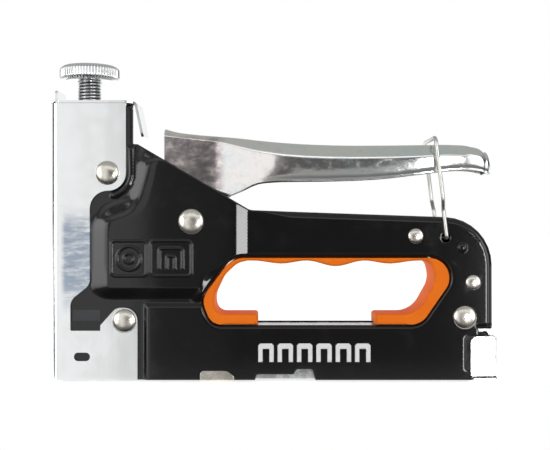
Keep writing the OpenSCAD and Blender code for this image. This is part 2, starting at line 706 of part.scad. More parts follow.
// Arched hollow under the palm, seen along the tool
module palm_hollow(half) {
    shoulder = palm_top - 7.2;
    polygon(concat(
        [[-half, palm_floor - 4], [half, palm_floor - 4]],
        [for (a = [0:15:180]) [half * cos(a), shoulder + (palm_top - handle_sheet - 0.1 - shoulder) * sin(a)]]
    ));
}
module lever() {
    cut_y = cheek_y - handle_sheet;
    color([0.85, 0.87, 0.9]) difference() {
        union() {
            crown(0, len(stations) - 1, 0);
            // Cheeks that reach down to the pivot
            side(-cheek_y, cheek_y) polygon(rounded([
                [lever_front, palm_top, 0], [lever_front, pivot_z + 16, 4], [pivot_x - 7.4, pivot_z - 2, 3],
                [pivot_x - 5, pivot_z - 7, 5], [pivot_x + 6, pivot_z - 7, 5], [beam_x - 3, palm_floor, 4],
                [beam_x - 3, palm_top - 4, 0]
            ]));
        }
        // Hollow between the cheeks and under the palm
        side(-cut_y, cut_y) polygon(concat(
            [[lever_front - past, pivot_z - 12]],
            [for (s = stations) [s[0] == lever_front ? s[0] - past : s[0], s[2]]],
            [[tail_x - 3, palm_floor - 5], [beam_x, pivot_z - 12]]
        ));
        translate([beam_x + 8, 0, 0]) rotate([90, 0, 90]) linear_extrude(tail_x - 20 - beam_x)
            palm_hollow(handle_width / 2 - handle_sheet - 0.6);
        translate([tail_x - 14, 0, 0]) rotate([90, 0, 90]) linear_extrude(9)
            translate([0, -1]) palm_hollow(handle_width / 2 - handle_sheet - 2.6);
        across([pivot_x, pivot_z], bush_radius + 0.02, -cheek_y - past, cheek_y + past);
        across(lever_pin_place, 1.5 + 0.02, -cheek_y - past, cheek_y + past);
    }
}
lever_pin_place = [pivot_x + 3, pivot_z + 11];
module lifting_arm() {
    color([0.5, 0.51, 0.53]) difference() {
        side(-arm_y, arm_y) polygon(rounded([
            [pivot_x + 7, pivot_z - 7, 5], [pivot_x + 7.5, pivot_z + 15, 4], [pivot_x - 1.5, pivot_z + 15, 3],
            [pivot_x - 7, pivot_z + 5, 5], [roller.x - 3, roller.y + 4.4, 2.5],
            [roller.x - 4, roller.y - 2.8, 2.5],
            [roller.x + 6, roller.y - 3.4, 4]
        ]));
        across([pivot_x, pivot_z], bush_radius + 0.02, -2, 2);
        across(lever_pin_place, 1.5 + 0.02, -2, 2);
        across(roller, 1.3 + running, -2, 2);
    }
}
module pivot_bush() {
    half = inner_y - 0.15;
    color([0.72, 0.6, 0.35]) difference() {
        across([pivot_x, pivot_z], bush_radius, -half, half);
        across([pivot_x, pivot_z], pivot_radius + running, -half - past, half + past);
    }
}
module lever_pin() {
    color([0.7, 0.7, 0.72]) across(lever_pin_place, 1.5, -cheek_y + 0.1, cheek_y - 0.1);
}
module lift_rollers() {
    color([0.62, 0.63, 0.65]) for (s = [-1, 1]) scale_y(s) difference() {
        across(roller, roller_radius, arm_y + 0.1, 4.4);
        across(roller, 1.3 + running, 1, 5);
    }
}
module roller_pin() {
    color([0.7, 0.7, 0.72]) across(roller, 1.3, -4.7, 4.7);
}
module lever_spring() {
    color([0.55, 0.55, 0.57]) translate([pivot_x, 5.7, pivot_z]) rotate([90, 0, 0])
        coil(bush_radius + 0.8, 0.45, 3.5, 3.9, 6, 16);
}

// Lock bail -------------------------------------------------------------------------------

// Centre line of the bail in its own plane: [across the tool, up], from one foot to the other
function bail_line() =
    let (half = [
        [bail_low_y - 0.9, 0, 0], [bail_low_y, 0, 0.8], [bail_low_y, 11, 3],
        [bail_high_y, 15, 3], [bail_high_y, bail_reach, 2.6]
    ])
    let (p = concat(half, [for (i = [len(half) - 1:-1:0]) [-half[i][0], half[i][1], half[i][2]]]))
    [for (i = [0:len(p) - 1])
        each i == 0 || i == len(p) - 1 ? [[p[i].x, p[i].y]] :
            corner([p[i - 1].x, p[i - 1].y], [p[i].x, p[i].y], [p[i + 1].x, p[i + 1].y], p[i].z, 5)];
// Round tube along a flat line of points, with closed ends
module flat_tube(line, r, sides = 12) {
    last = len(line) - 1;
    points = [
        for (i = [0:last], k = [0:sides - 1])
            let (t = unit(line[min(i + 1, last)] - line[max(i - 1, 0)]), a = 360 * k / sides)
            [r * sin(a), line[i].x - r * cos(a) * t.y, line[i].y + r * cos(a) * t.x]
    ];
    walls = [
        for (i = [0:last - 1], k = [0:sides - 1])
            let (m = i * sides + k, n = i * sides + (k + 1) % sides)
            each [[m, m + sides, n], [n, m + sides, n + sides]]
    ];
    ends = [[for (k = [0:sides - 1]) k], [for (k = [sides - 1:-1:0]) last * sides + k]];
    polyhedron(points, concat(walls, ends), convexity = 6);
}
module lock_bail() {
    color([0.85, 0.86, 0.87]) translate([foot.x, 0, foot.y]) rotate([0, bail_lean, 0]) {
        flat_tube(bail_line(), wire / 2 - 0.01);
        for (s = [-1, 1]) scale_y(s) across([0, 0], wire / 2, inner_y - 0.6, bail_low_y - 0.8);
    }
}

// Fasteners -------------------------------------------------------------------------------

module pivot_rivet() {
    color([0.8, 0.77, 0.72]) rivet([pivot_x, pivot_z], pivot_radius, pivot_head, dome_height, plateau_y + lap);
}
module large_rivets() {
    color([0.8, 0.77, 0.72]) {
        for (p = [upper_rivet, lower_rivet]) rivet(p, rivet_shank, large_head, dome_height, housing_y + lap);
        rivet(rear_rivet, rivet_shank, large_head, dome_height, panel_y + lap);
    }
}
module small_rivets() {
    color([0.8, 0.77, 0.72]) for (p = [beam_rivet, post_rivet])
        rivet(p, rivet_shank, small_head, dome_height * 0.65, panel_y + lap);
}
// Tubes that hold the shells apart round the rear rivets
module body_spacers() {
    color([0.6, 0.6, 0.62]) for (p = [rear_rivet, beam_rivet, post_rivet]) difference() {
        across(p, rivet_shank + lap + 0.8, shell_sheet + lap - panel_y, panel_y - shell_sheet - lap);
        across(p, rivet_shank + lap, -panel_y, panel_y);
    }
}

left_shell();
right_shell();
front_housing();
front_plate();
top_plate();
thread_nut();
finger_grip();
striker_buffer();
blade_guide();
magazine_channel();
magazine_bridge();
pivot_rivet();
large_rivets();
small_rivets();
body_spacers();
tension_knob();
tension_screw();
spring_cap();
main_spring();
plunger();
driver_blade();
blade_pins();
lever();
lifting_arm();
pivot_bush();
lever_pin();
lift_rollers();
roller_pin();
lever_spring();
lock_bail();
magazine_rail();
guide_rod();
rear_clip();
rear_catch();
rod_nut();
pusher();
pusher_spring();
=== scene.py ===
# %% [markdown]
# # A staple gun in its finishes
# The solid model already holds every piece in its place. This notebook gives the pieces that are
# seen their pressed edges, threads, ribs and finishes. All shapes are worked out in millimetres as
# numpy arrays, and become metres only when a mesh is made.

# %% Load the frame
import math

import bmesh
import bpy
import numpy as np
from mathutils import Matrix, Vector, geometry


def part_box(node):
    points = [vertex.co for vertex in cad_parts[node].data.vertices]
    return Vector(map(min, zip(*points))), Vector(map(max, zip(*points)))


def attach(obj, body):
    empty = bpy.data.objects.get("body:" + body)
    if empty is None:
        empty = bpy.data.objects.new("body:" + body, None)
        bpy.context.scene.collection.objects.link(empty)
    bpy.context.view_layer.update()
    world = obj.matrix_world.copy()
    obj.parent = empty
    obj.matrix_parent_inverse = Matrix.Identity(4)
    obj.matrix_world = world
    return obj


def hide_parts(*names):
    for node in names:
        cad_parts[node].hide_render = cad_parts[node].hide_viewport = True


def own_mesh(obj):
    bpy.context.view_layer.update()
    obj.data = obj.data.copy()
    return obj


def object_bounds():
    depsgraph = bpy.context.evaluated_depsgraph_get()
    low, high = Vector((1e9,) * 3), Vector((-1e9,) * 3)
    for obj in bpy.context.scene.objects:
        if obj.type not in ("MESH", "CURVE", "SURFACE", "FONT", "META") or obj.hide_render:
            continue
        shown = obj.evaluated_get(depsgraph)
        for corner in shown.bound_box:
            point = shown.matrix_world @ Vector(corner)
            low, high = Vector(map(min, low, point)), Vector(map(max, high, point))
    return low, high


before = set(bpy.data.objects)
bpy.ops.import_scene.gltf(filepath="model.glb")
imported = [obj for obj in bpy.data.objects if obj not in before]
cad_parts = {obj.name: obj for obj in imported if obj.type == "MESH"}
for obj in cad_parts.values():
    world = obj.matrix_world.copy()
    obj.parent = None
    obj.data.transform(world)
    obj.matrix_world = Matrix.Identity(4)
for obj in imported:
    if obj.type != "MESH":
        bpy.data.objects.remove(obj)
cad_box = [list(corner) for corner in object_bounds()]
print(len(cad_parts), "solids loaded")

# %% [markdown]
# Places come from the solids themselves. Each helper reads one solid's box, so a piece made here
# stays where its solid is when a size changes.

# %% Sizes read from the solids
def limits(node):
    """Lowest and highest corner of a solid, in millimetres."""
    low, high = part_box(node)
    return np.array(low) * 1000, np.array(high) * 1000


def middle(node):
    """Centre of a solid's box, in millimetres."""
    low, high = limits(node)
    return (low + high) / 2


front_x, rear_x = cad_box[0][0] * 1000, cad_box[1][0] * 1000
housing_low, housing_high = limits("front_housing")
housing_front, foot_rear, housing_y = housing_low[0], housing_high[0], housing_high[1]
ground_gap, nose_height = housing_low[2], housing_high[2]
plateau_y = limits("right_shell")[1][1]
housing_sheet, lap, panel_step = 1.0, 0.05, 1.0
side_y = housing_y - (housing_sheet + lap)
panel_y = side_y + panel_step
pivot = middle("pivot_bush")[[0, 2]]
beam_height = pivot[1] + 1.6
beam_x, beam_front_z = front_x + 77.6, beam_height + 2.9
post_x, tail_floor = rear_x - 2.8, 20.6
strip_rear, slope_top = foot_rear - 2.0, nose_height - 15.8
shell_front = housing_front + 5.8
opening_top, opening_floor = beam_height - 15.4, 22.2
opening_front, opening_rear = front_x + 59.7, post_x - 16.9
block_low, block_high = limits("striker_buffer")
window_gap = 0.2
window_front, window_rear = block_low[0] - window_gap, block_high[0] + window_gap
window_floor = block_low[2] - window_gap
upper_rivet = np.array([housing_front + 21.8, nose_height - 27.1])
lower_rivet = np.array([housing_front + 28.45, 23.9])
rear_rivet = np.array([rear_x - 13.8, 25.3])
beam_rivet = np.array([rear_x - 32.8, beam_height - 7.2])
post_rivet = np.array([rear_x - 10.5, 38.8])
bail_foot = np.array([rear_x - 20.9, beam_height - 7.8])
screw_x = middle("tension_screw")[0]
print("body", round(rear_x - front_x, 1), "mm long,", round(2 * plateau_y, 1), "mm wide")

# %% [markdown]
# ## Camera
# The tool stands square to the camera, and the lens is level with the middle of the body. A long
# lens from close by shows the far halves of the knob, the bail and the top plate a little smaller.

# %% Camera
camera = bpy.data.objects.new("camera", bpy.data.cameras.new("camera"))
camera.data.lens = 60
camera.data.sensor_width = 36
distance, lens_height = 0.365, 0.0611
camera.location = (0, -distance, lens_height)
camera.rotation_euler = (math.pi / 2, 0, 0)
bpy.context.collection.objects.link(camera)
bpy.context.scene.camera = camera
bpy.context.scene.view_settings.view_transform = "Standard"

# %% [markdown]
# ## Drawing tools
# Pressed steel has outlines of straight stretches and round corners. `rounded` turns a few corners
# and their radii into such an outline, and `spread` puts points at an even spacing along it.

# %% Outlines
def unit(v):
    """Vectors scaled to length one, along the last axis."""
    return v / np.maximum(np.linalg.norm(v, axis=-1, keepdims=True), 1e-12)


def rounded(corners, steps=8, closed=True):
    """Outline through corners (x, z, radius). Each corner becomes an arc that touches both of its
    sides: its centre lies on the bisector, radius / sin(half the angle) away."""
    p = np.array(corners, float)
    out = []
    for i, (x, z, r) in enumerate(p):
        b = p[i, :2]
        end = not closed and i in (0, len(p) - 1)
        u, v = unit(p[i - 1, :2] - b), unit(p[(i + 1) % len(p), :2] - b)
        half = math.acos(max(-1.0, min(1.0, float(u @ v)))) / 2
        if end or r <= 0 or half > math.radians(89.5):
            out.append(b[None])
            continue
        centre = b + unit(u + v) * r / math.sin(half)
        start, stop = (b + w * r / math.tan(half) - centre for w in (u, v))
        a0, a1 = math.atan2(start[1], start[0]), math.atan2(stop[1], stop[0])
        a1 -= 2 * math.pi * round((a1 - a0) / (2 * math.pi))
        a = np.linspace(a0, a1, steps + 1)
        out.append(centre + r * np.stack([np.cos(a), np.sin(a)], 1))
    return np.concatenate(out)


def rectangle(x0, x1, z0, z1, radius):
    """Closed outline of an upright rectangle with round corners."""
    return rounded([(x0, z0, radius), (x1, z0, radius), (x1, z1, radius), (x0, z1, radius)])


def arch(x0, x1, z0, z1, radius):
    """Open outline of a staple: up, across and down, with two round corners."""
    return rounded([(x0, z0, 0), (x0, z1, radius), (x1, z1, radius), (x1, z0, 0)], closed=False)


def circle(count):
    """Evenly spaced points on a circle of radius 1."""
    turn = np.linspace(0, 2 * np.pi, count, endpoint=False)
    return np.stack([np.cos(turn), np.sin(turn)], 1)


def lattice(first, second):
    """Every pair of two lists of coordinates, as points."""
    return np.stack(np.meshgrid(first, second, indexing="ij"), -1).reshape(-1, 2)


def running_length(line):
    """Length of a line from its start to each of its points."""
    return np.concatenate([[0], np.cumsum(np.linalg.norm(np.diff(line, axis=0), axis=1))])


def spread(loop, spacing):
    """Closed outline with extra points, so that no side is longer than the spacing."""
    side = np.roll(loop, -1, 0) - loop
    count = np.maximum(1, np.ceil(np.linalg.norm(side, axis=1) / spacing)).astype(int)
    first = np.repeat(np.cumsum(count) - count, count)
    share = (np.arange(count.sum()) - first) / np.repeat(count, count)
    points = np.repeat(loop, count, 0) + share[:, None] * np.repeat(side, count, 0)
    return points[np.linalg.norm(points - np.roll(points, 1, 0), axis=1) > 0.01]


def area(loop):
    """Signed area of an outline, positive when it runs anticlockwise."""
    x, z = loop.T
    return float(np.sum(x * np.roll(z, -1) - z * np.roll(x, -1)) / 2)


def outward(loop):
    """Outward directions at the points of an outline, longer where a corner is sharp, so that an
    offset along them keeps its distance from both sides."""
    turn = 1 if area(loop) > 0 else -1
    side = unit(np.roll(loop, -1, 0) - loop)
    normal = turn * np.stack([side[:, 1], -side[:, 0]], 1)
    both = unit(normal + np.roll(normal, 1, 0))
    return both / np.maximum(np.sum(both * normal, 1, keepdims=True), 0.5)


def inside(points, loop):
    """Which points lie inside an outline: an upward ray crosses it an odd number of times."""
    a, b = loop, np.roll(loop, -1, 0)
    x, z = points[:, :1], points[:, 1:]
    crosses = (a[:, 0] > x) != (b[:, 0] > x)
    run = np.where(np.abs(b[:, 0] - a[:, 0]) < 1e-12, 1e-12, b[:, 0] - a[:, 0])
    height = a[:, 1] + (x - a[:, 0]) / run * (b[:, 1] - a[:, 1])
    return (crosses & (height > z)).sum(1) % 2 == 1


def nearest(points, path, closed=True):
    """Vector from the nearest place on a path to each point, and its length."""
    a = path if closed else path[:-1]
    b = np.roll(path, -1, 0) if closed else path[1:]
    side = b - a
    long = np.maximum((side**2).sum(1), 1e-12)
    best = np.full(len(points), 1e9)
    away = np.zeros((len(points), 2))
    for start in range(0, len(points), 4000):
        part = points[start:start + 4000]
        gap = part[:, None] - a
        t = np.clip((gap * side).sum(2) / long, 0, 1)
        gap = gap - t[..., None] * side
        length = np.linalg.norm(gap, axis=2)
        pick = length.argmin(1), np.arange(len(part))
        best[start:start + 4000] = length[pick[1], pick[0]]
        away[start:start + 4000] = gap[pick[1], pick[0]]
    return away, best


def depth_in(points, loop):
    """Distance inside an outline, negative outside it."""
    return np.where(inside(points, loop), 1, -1) * nearest(points, loop)[1]


# %% [markdown]
# ## Making meshes
# Two kinds of surface cover the whole tool. A grid is a function of two parameters, joined row by
# row. A blank is a flat sheet with any outline and holes, filled with triangles by a constrained
# Delaunay triangulation. `weld` joins grids and blanks into one skin where their edges meet.

# %% Meshes from arrays
def grid(points, around=False, flip=False):
    """Points of shape (rows, columns, 3) as vertices and quads. Around closes each row."""
    rows, cols = points.shape[:2]
    i, j = lattice(np.arange(rows - 1), np.arange(cols if around else cols - 1)).T
    i2, j2 = i + 1, (j + 1) % cols
    quads = np.stack([i * cols + j, i * cols + j2, i2 * cols + j2, i2 * cols + j], -1)
    return points.reshape(-1, 3), quads[:, ::-1] if flip else quads


def blank(outline, holes=(), spacing=1.0, extra=()):
    """Flat sheet inside an outline and outside its holes: points and triangles. Points fill it on
    a grid, and extra points are added where a crease runs."""
    loops = [outline, *holes]
    low, high = outline.min(0), outline.max(0)
    rows = np.arange(low[1], high[1], spacing * 0.87)
    x, z = np.meshgrid(np.arange(low[0], high[0], spacing), rows, indexing="ij")
    x = x + (np.arange(len(rows)) % 2) * spacing / 2
    fill = np.concatenate([np.stack([x, z], -1).reshape(-1, 2), *extra])
    keep = inside(fill, outline)
    for hole in holes:
        keep &= ~inside(fill, hole)
    fill = fill[keep]
    far = np.ones(len(fill), bool)
    for loop in loops:
        far &= nearest(fill, loop)[1] > spacing * 0.4
    points = np.concatenate([*loops, fill[far]])
    edges, start = [], 0
    for loop in loops:
        k = np.arange(len(loop))
        edges.append(np.stack([start + k, start + (k + 1) % len(loop)], 1))
        start += len(loop)
    corners = [Vector(p) for p in points]
    made = geometry.delaunay_2d_cdt(corners, np.concatenate(edges).tolist(), [], 0, 1e-6)
    flat = np.array([tuple(v) for v in made[0]])
    tris = np.array(made[2])
    centre = flat[tris].mean(1)
    keep = inside(centre, outline)
    for hole in holes:
        keep &= ~inside(centre, hole)
    return flat, tris[keep]


def lifted(flat, tris, level):
    """A blank's points lifted to a level over the side view, with triangles that face +Y."""
    points = np.stack([flat[:, 0], level, flat[:, 1]], 1)
    a, b, c = (points[tris[:, k]] for k in range(3))
    return points, tris if np.cross(b - a, c - a)[:, 1].sum() > 0 else tris[:, ::-1]


def weld(name, skins, body, slot, nodes=(), sharp=35, recalc=False):
    """One object from several skins of vertices and faces, in millimetres. Vertices closer than
    4 microns are joined, and edges that turn by more than sharp degrees stay crisp."""
    mesh = bpy.data.meshes.new(name)
    verts, faces, start = [], [], 0
    for points, polygons in skins:
        verts.append(points)
        faces += (np.asarray(polygons) + start).tolist()
        start += len(points)
    mesh.from_pydata((np.concatenate(verts) / 1000).tolist(), [], faces)
    work = bmesh.new()
    work.from_mesh(mesh)
    bmesh.ops.remove_doubles(work, verts=work.verts, dist=0.004 / 1000)
    bmesh.ops.dissolve_degenerate(work, edges=work.edges, dist=1e-7)
    if recalc:
        bmesh.ops.recalc_face_normals(work, faces=work.faces)
    work.to_mesh(mesh)
    work.free()
    mesh.shade_smooth()
    mesh.set_sharp_from_angle(angle=math.radians(sharp))
    piece = bpy.data.objects.new(name, mesh)
    bpy.context.collection.objects.link(piece)
    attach(piece, body)
    if nodes:
        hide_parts(*nodes)
    return piece


def thicken(piece, thickness, bevel=0.0):
    """Gives a sheet its thickness on its inner side, and rounds the cut edges."""
    solid = piece.modifiers.new("thickness", "SOLIDIFY")
    solid.thickness, solid.offset = thickness / 1000, -1
    solid.use_even_offset = False
    if bevel:
        edge = piece.modifiers.new("edge", "BEVEL")
        edge.width, edge.segments, edge.limit_method = bevel / 1000, 2, "ANGLE"
        edge.angle_limit = math.radians(50)
        edge.harden_normals = True
    return piece


def both_sides(skins):
    """Skins and their mirror images across the tool."""
    return [*skins, *(mirrored(s) for s in skins)]


def mirrored(skin):
    """A skin turned over to the other side of the tool, with its faces reversed."""
    points, faces = skin
    return points * [1, -1, 1], np.asarray(faces)[:, ::-1]


def turned(radius, z, sides, centre_x=0):
    """Rows of points round an upright axis. The radius may change with the row and the angle."""
    x, y = circle(sides).T
    z = np.repeat(z[:, None], sides, 1)
    return np.stack([centre_x + radius * x, radius * y, z], -1)


def lathe(profile, sides):
    """A profile of (radius, height) turned round the Z axis."""
    radius, z = np.array(profile, float).T
    return grid(turned(radius[:, None], z, sides), around=True)


def place(skin, origin, axes):
    """Moves a skin so that its x, y and z run along the given axes from the origin."""
    points, faces = skin
    return points @ np.array(axes, float) + np.array(origin, float), faces


# %% [markdown]
# ## Shader tools
# Materials read best as sums. The class below wraps a socket, so that an ordinary Python
# expression adds its Math nodes, and `node` makes any other kind of node.

# %% Socket arithmetic
class Value:
    """A socket that takes part in Python arithmetic."""

    def __init__(self, tree, socket):
        self.tree, self.socket = tree, socket

    def math(self, operation, *others):
        return self.node("ShaderNodeMath", {"operation": operation}, self, *others)

    def node(self, kind, settings=None, *inputs, out=0, **named):
        """Adds a node: settings first, then inputs in order or by name, each a value or a link."""
        made = self.tree.nodes.new(kind)
        for key, setting in (settings or {}).items():
            if key == "stops":
                ramp = made.color_ramp
                while len(ramp.elements) < len(setting):
                    ramp.elements.new(0.5)
                for stop, (where, colour) in zip(ramp.elements, setting):
                    stop.position, stop.color = where, (*colour, 1)
            else:
                setattr(made, key, setting)
        named = {key.replace("_", " "): given for key, given in named.items()}
        self.feed(made, {**dict(enumerate(inputs)), **named})
        return Value(self.tree, made.outputs[out])

    def feed(self, made, inputs):
        """Puts a number or a link into each of a node's sockets."""
        for key, given in inputs.items():
            if isinstance(given, Value):
                self.tree.links.new(given.socket, made.inputs[key])
            else:
                made.inputs[key].default_value = given

    def __add__(self, other): return self.math("ADD", other)
    def __radd__(self, other): return self.math("ADD", other)
    def __mul__(self, other): return self.math("MULTIPLY", other)
    def __rmul__(self, other): return self.math("MULTIPLY", other)
    def __rsub__(self, other):
        return self.node("ShaderNodeMath", {"operation": "SUBTRACT"}, other, self)

    def __abs__(self): return self.math("ABSOLUTE")

    def ramp(self, low, high):
        """0 below low, 1 above high, with a soft step between."""
        soft = {"interpolation_type": "SMOOTHSTEP"}
        return self.node("ShaderNodeMapRange", soft, self, low, high, 0.0, 1.0)

    def between(self, first, second):
        """Colour mixed from first to second by this factor."""
        made = self.tree.nodes.new("ShaderNodeMix")
        made.data_type = "RGBA"
        first, second = (c if isinstance(c, Value) else (*c, 1) for c in (first, second))
        self.feed(made, {0: self, 6: first, 7: second})
        return Value(self.tree, made.outputs[2])

    def noise(self, scale, detail=3.0, roughness=0.5):
        """Noise on this position, about 0.5 on average. The scale counts patches in a metre."""
        return self.node("ShaderNodeTexNoise", None,
                         Vector=self, Scale=scale, Detail=detail, Roughness=roughness)

    def stretch(self, x, y, z):
        """This position with each axis scaled by its own number."""
        return self.node("ShaderNodeVectorMath", {"operation": "MULTIPLY"}, self, (x, y, z))

    def part(self, axis):
        """One coordinate of this position: 0, 1 or 2."""
        return self.node("ShaderNodeSeparateXYZ", None, self, out=axis)

    def bump(self, strength, distance, normal=None):
        """Normal disturbed by this height. The distance is in metres."""
        named = {"Strength": strength, "Distance": distance, "Height": self}
        if normal is not None:
            named["Normal"] = normal
        return self.node("ShaderNodeBump", None, **named)


materials = {}


def finish(name, recipe, **fixed):
    """A material whose fixed numbers sit on the shader and whose varying inputs come from the
    recipe, a function of the position on the piece."""
    material = bpy.data.materials.new(name)
    material.use_nodes = True
    tree = material.node_tree
    shader = tree.nodes["Principled BSDF"]
    for key, number in fixed.items():
        shader.inputs[key.replace("_", " ")].default_value = number
    position = Value(tree, tree.nodes.new("ShaderNodeTexCoord").outputs["Object"])
    for key, given in recipe(position).items():
        tree.links.new(given.socket, shader.inputs[key.replace("_", " ")])
    materials[name] = material
    return material


# %% [markdown]
# ## Finishes
# The shells are stove-enamelled black over steel. The coat is glossy, with the faint swell of
# sprayed paint and a few dust specks, so its reflections stay sharp but not ruler-straight.

# %% Black enamel
def enamel(position):
    swell = position.noise(260, 2)
    rub = position.noise(90, 5, 0.7).ramp(0.5, 0.75)
    return {
        "Base_Color": rub.between((0.0075, 0.0075, 0.008), (0.012, 0.012, 0.0125)),
        "Roughness": 0.09 + 0.06 * rub,
        "Normal": swell.bump(0.03, 0.0002),
    }


finish("black_enamel", enamel, Specular_IOR_Level=0.5)

# %% [markdown]
# The nose housing is bright-plated sheet. Rolling and plating leave long soft waves in it, which
# bend reflections, and very fine lines that run up and down. Low near the front of its sides, a
# blue-grey patch of painted reflection is mixed into its colour.

# %% Bright plate
def bright_plate(position):
    waves = position.stretch(1, 1, 0.35).noise(55, 2)
    lines = position.stretch(1, 1, 0.03).noise(2600, 3)
    haze = position.noise(140, 4, 0.6).ramp(0.35, 0.7)
    plain = haze.between((0.9, 0.92, 0.93), (0.96, 0.965, 0.965))
    # painted reflection: a blue-grey patch low near the front, mixed into the plate's colour
    low = 1 - position.part(2).ramp(0.058, 0.07)
    wear_and_reflection_mask = low * position.part(2).ramp(0.024, 0.04) * position.part(0).ramp(-0.0835, -0.081)
    painted_reflection = wear_and_reflection_mask * position.stretch(0.25, 0.25, 1).noise(420, 4, 0.65).ramp(0.2, 0.62)
    return {
        "Base_Color": (painted_reflection * 0.9).between(plain, (0.3, 0.37, 0.47)),
        "Roughness": 0.13 + 0.1 * haze + 0.05 * lines,
        "Normal": lines.bump(0.03, 0.0001, waves.bump(0.16, 0.0012)),
    }


finish("bright_plate", bright_plate, Metallic=1.0)

# %% [markdown]
# The squeeze handle is polished chrome. Its drawn sheet is softly lumpy, and a thin film of grease
# and heat tint gives the reflections brown patches. The front cheek carries blotchy violet-grey
# painted dark reflection in its colour.

# %% Polished chrome
def chrome(position):
    lumps = position.stretch(1, 1, 1.6).noise(75, 3, 0.55)
    tint = position.stretch(0.7, 1, 1).noise(60, 4, 0.6)
    smear = position.noise(320, 4, 0.6).ramp(0.45, 0.8)
    warm = tint.ramp(0.4, 0.65).between((0.84, 0.88, 0.88), (0.92, 0.88, 0.85))
    # painted dark reflection: the front cheek below the crown is darkened in blotchy violet-grey
    # patches
    ahead = 1 - position.part(0).ramp(-0.0225, -0.0185)
    cheek = ahead * (1 - position.part(2).ramp(0.093, 0.099))
    blotch = position.stretch(1, 1, 1.7).noise(150, 4, 0.65).ramp(0.35, 0.68)
    painted_dark_reflection = blotch.between((0.42, 0.36, 0.38), (1.0, 0.9, 0.86))
    return {
        "Base_Color": (cheek * 0.9).between(smear.between(warm, (0.8, 0.81, 0.83)), painted_dark_reflection),
        "Roughness": 0.12 + 0.12 * smear,
        "Normal": lumps.bump(0.07, 0.0016),
    }


finish("polished_chrome", chrome, Metallic=1.0)

# %% [markdown]
# Small bright pieces are zinc-plated: a little duller, with a fine crystal sparkle. Rivet heads are
# nickel, warmer and rounder in their shine. Hidden mechanism is plain oiled steel, and its springs
# are darker.

# %% Zinc, nickel, steel and brass
def plated(light, dark, rough, grain=900, depth=0.02):
    """A recipe for a plated metal whose tone and shine drift between two colours."""
    def recipe(position):
        cloud = position.noise(grain / 5, 4, 0.6).ramp(0.3, 0.7)
        fine = position.noise(grain * 3, 2)
        found = {"Base_Color": cloud.between(dark, light), "Roughness": rough + 0.1 * cloud}
        if depth:
            found["Normal"] = fine.bump(depth, 0.00015)
        return found
    return recipe


finish("bright_zinc", plated((0.72, 0.73, 0.74), (0.6, 0.61, 0.63), 0.2), Metallic=1.0)
finish("nickel", plated((0.84, 0.8, 0.73), (0.75, 0.71, 0.64), 0.2, depth=0), Metallic=1.0)
finish("drawn_wire", plated((0.8, 0.79, 0.76), (0.74, 0.73, 0.7), 0.34, 120, 0), Metallic=1.0)
finish("oiled_steel", plated((0.5, 0.5, 0.51), (0.3, 0.3, 0.31), 0.3), Metallic=1.0)
finish("spring_steel", plated((0.3, 0.3, 0.32), (0.18, 0.18, 0.2), 0.28), Metallic=1.0)
finish("brass", plated((0.8, 0.62, 0.3), (0.62, 0.45, 0.2), 0.25), Metallic=1.0)

# %% [markdown]
# The thread and the knob's ribs are darkened in their roots as painted shade. The piece carries an
# attribute named root, which is 1 in a groove and 0 on a crest, and the finish darkens with it.

# %% Painted shade in the roots
def shaded_roots(position):
    root = position.node("ShaderNodeAttribute", {"attribute_name": "root"}, out=2)
    # painted shade: the colour darkens towards the roots of the thread and the ribs
    ink_film_and_root_shade = root.ramp(0.15, 0.95)
    cloud = position.noise(300, 3)
    bright = cloud.between((0.82, 0.83, 0.84), (0.93, 0.935, 0.94))
    return {
        "Base_Color": (ink_film_and_root_shade * 0.9).between(bright, (0.1, 0.1, 0.105)),
        "Roughness": 0.16 + 0.25 * ink_film_and_root_shade,
    }


finish("shaded_roots", shaded_roots, Metallic=1.0)

# %% [markdown]
# The grip is moulded thermoplastic rubber, strong orange with a satin skin. Its inner wall is
# painted paler: painted light for the light that goes into the thin edge there. The stop block in
# the nose is plain grey rubber.

# %% Rubber
def orange(position):
    # painted light: the inner wall near the middle plane is mixed towards a paler orange
    wall = 1 - abs(position.part(1)).ramp(0.0082, 0.0094)
    grain = position.noise(3000, 3)
    blush = position.noise(120, 3).ramp(0.3, 0.8)
    face = blush.between((1.0, 0.215, 0.012), (0.98, 0.19, 0.01))
    return {
        "Base_Color": (wall * 0.6).between(face, (1.0, 0.27, 0.06)),
        "Roughness": 0.55 + 0.14 * grain,
        "Normal": grain.bump(0.15, 0.0001),
    }


def dull(position):
    grain = position.noise(2500, 3)
    return {
        "Base_Color": grain.between((0.035, 0.037, 0.04), (0.06, 0.062, 0.066)),
        "Roughness": 0.5 + 0.2 * grain,
        "Normal": grain.bump(0.2, 0.0001),
    }


def paint(position):
    wear_and_reflection_mask = position.noise(1500, 3).ramp(0.62, 0.8)
    ink = wear_and_reflection_mask.between((0.88, 0.88, 0.87), (0.7, 0.7, 0.69))
    return {"Base_Color": ink, "Roughness": 0.42 + 0.1 * wear_and_reflection_mask}


finish("orange_rubber", orange, Specular_IOR_Level=0.12)
finish("grey_rubber", dull)
finish("white_print", paint)
print(len(materials), "finishes")


def dress(piece, finish_name):
    """Puts one finish on a piece."""
    piece.data.materials.clear()
    piece.data.materials.append(materials[finish_name])
    return piece

# %% [markdown]
# ## Body shells
# Each shell is one pressed sheet: a front plateau, handle panels a step lower, a bead beside the
# nose and edges that turn in. A height over the side view describes all of that, so the sheet is a
# blank whose points are lifted to their height. The edge is a strip carried round the outline.

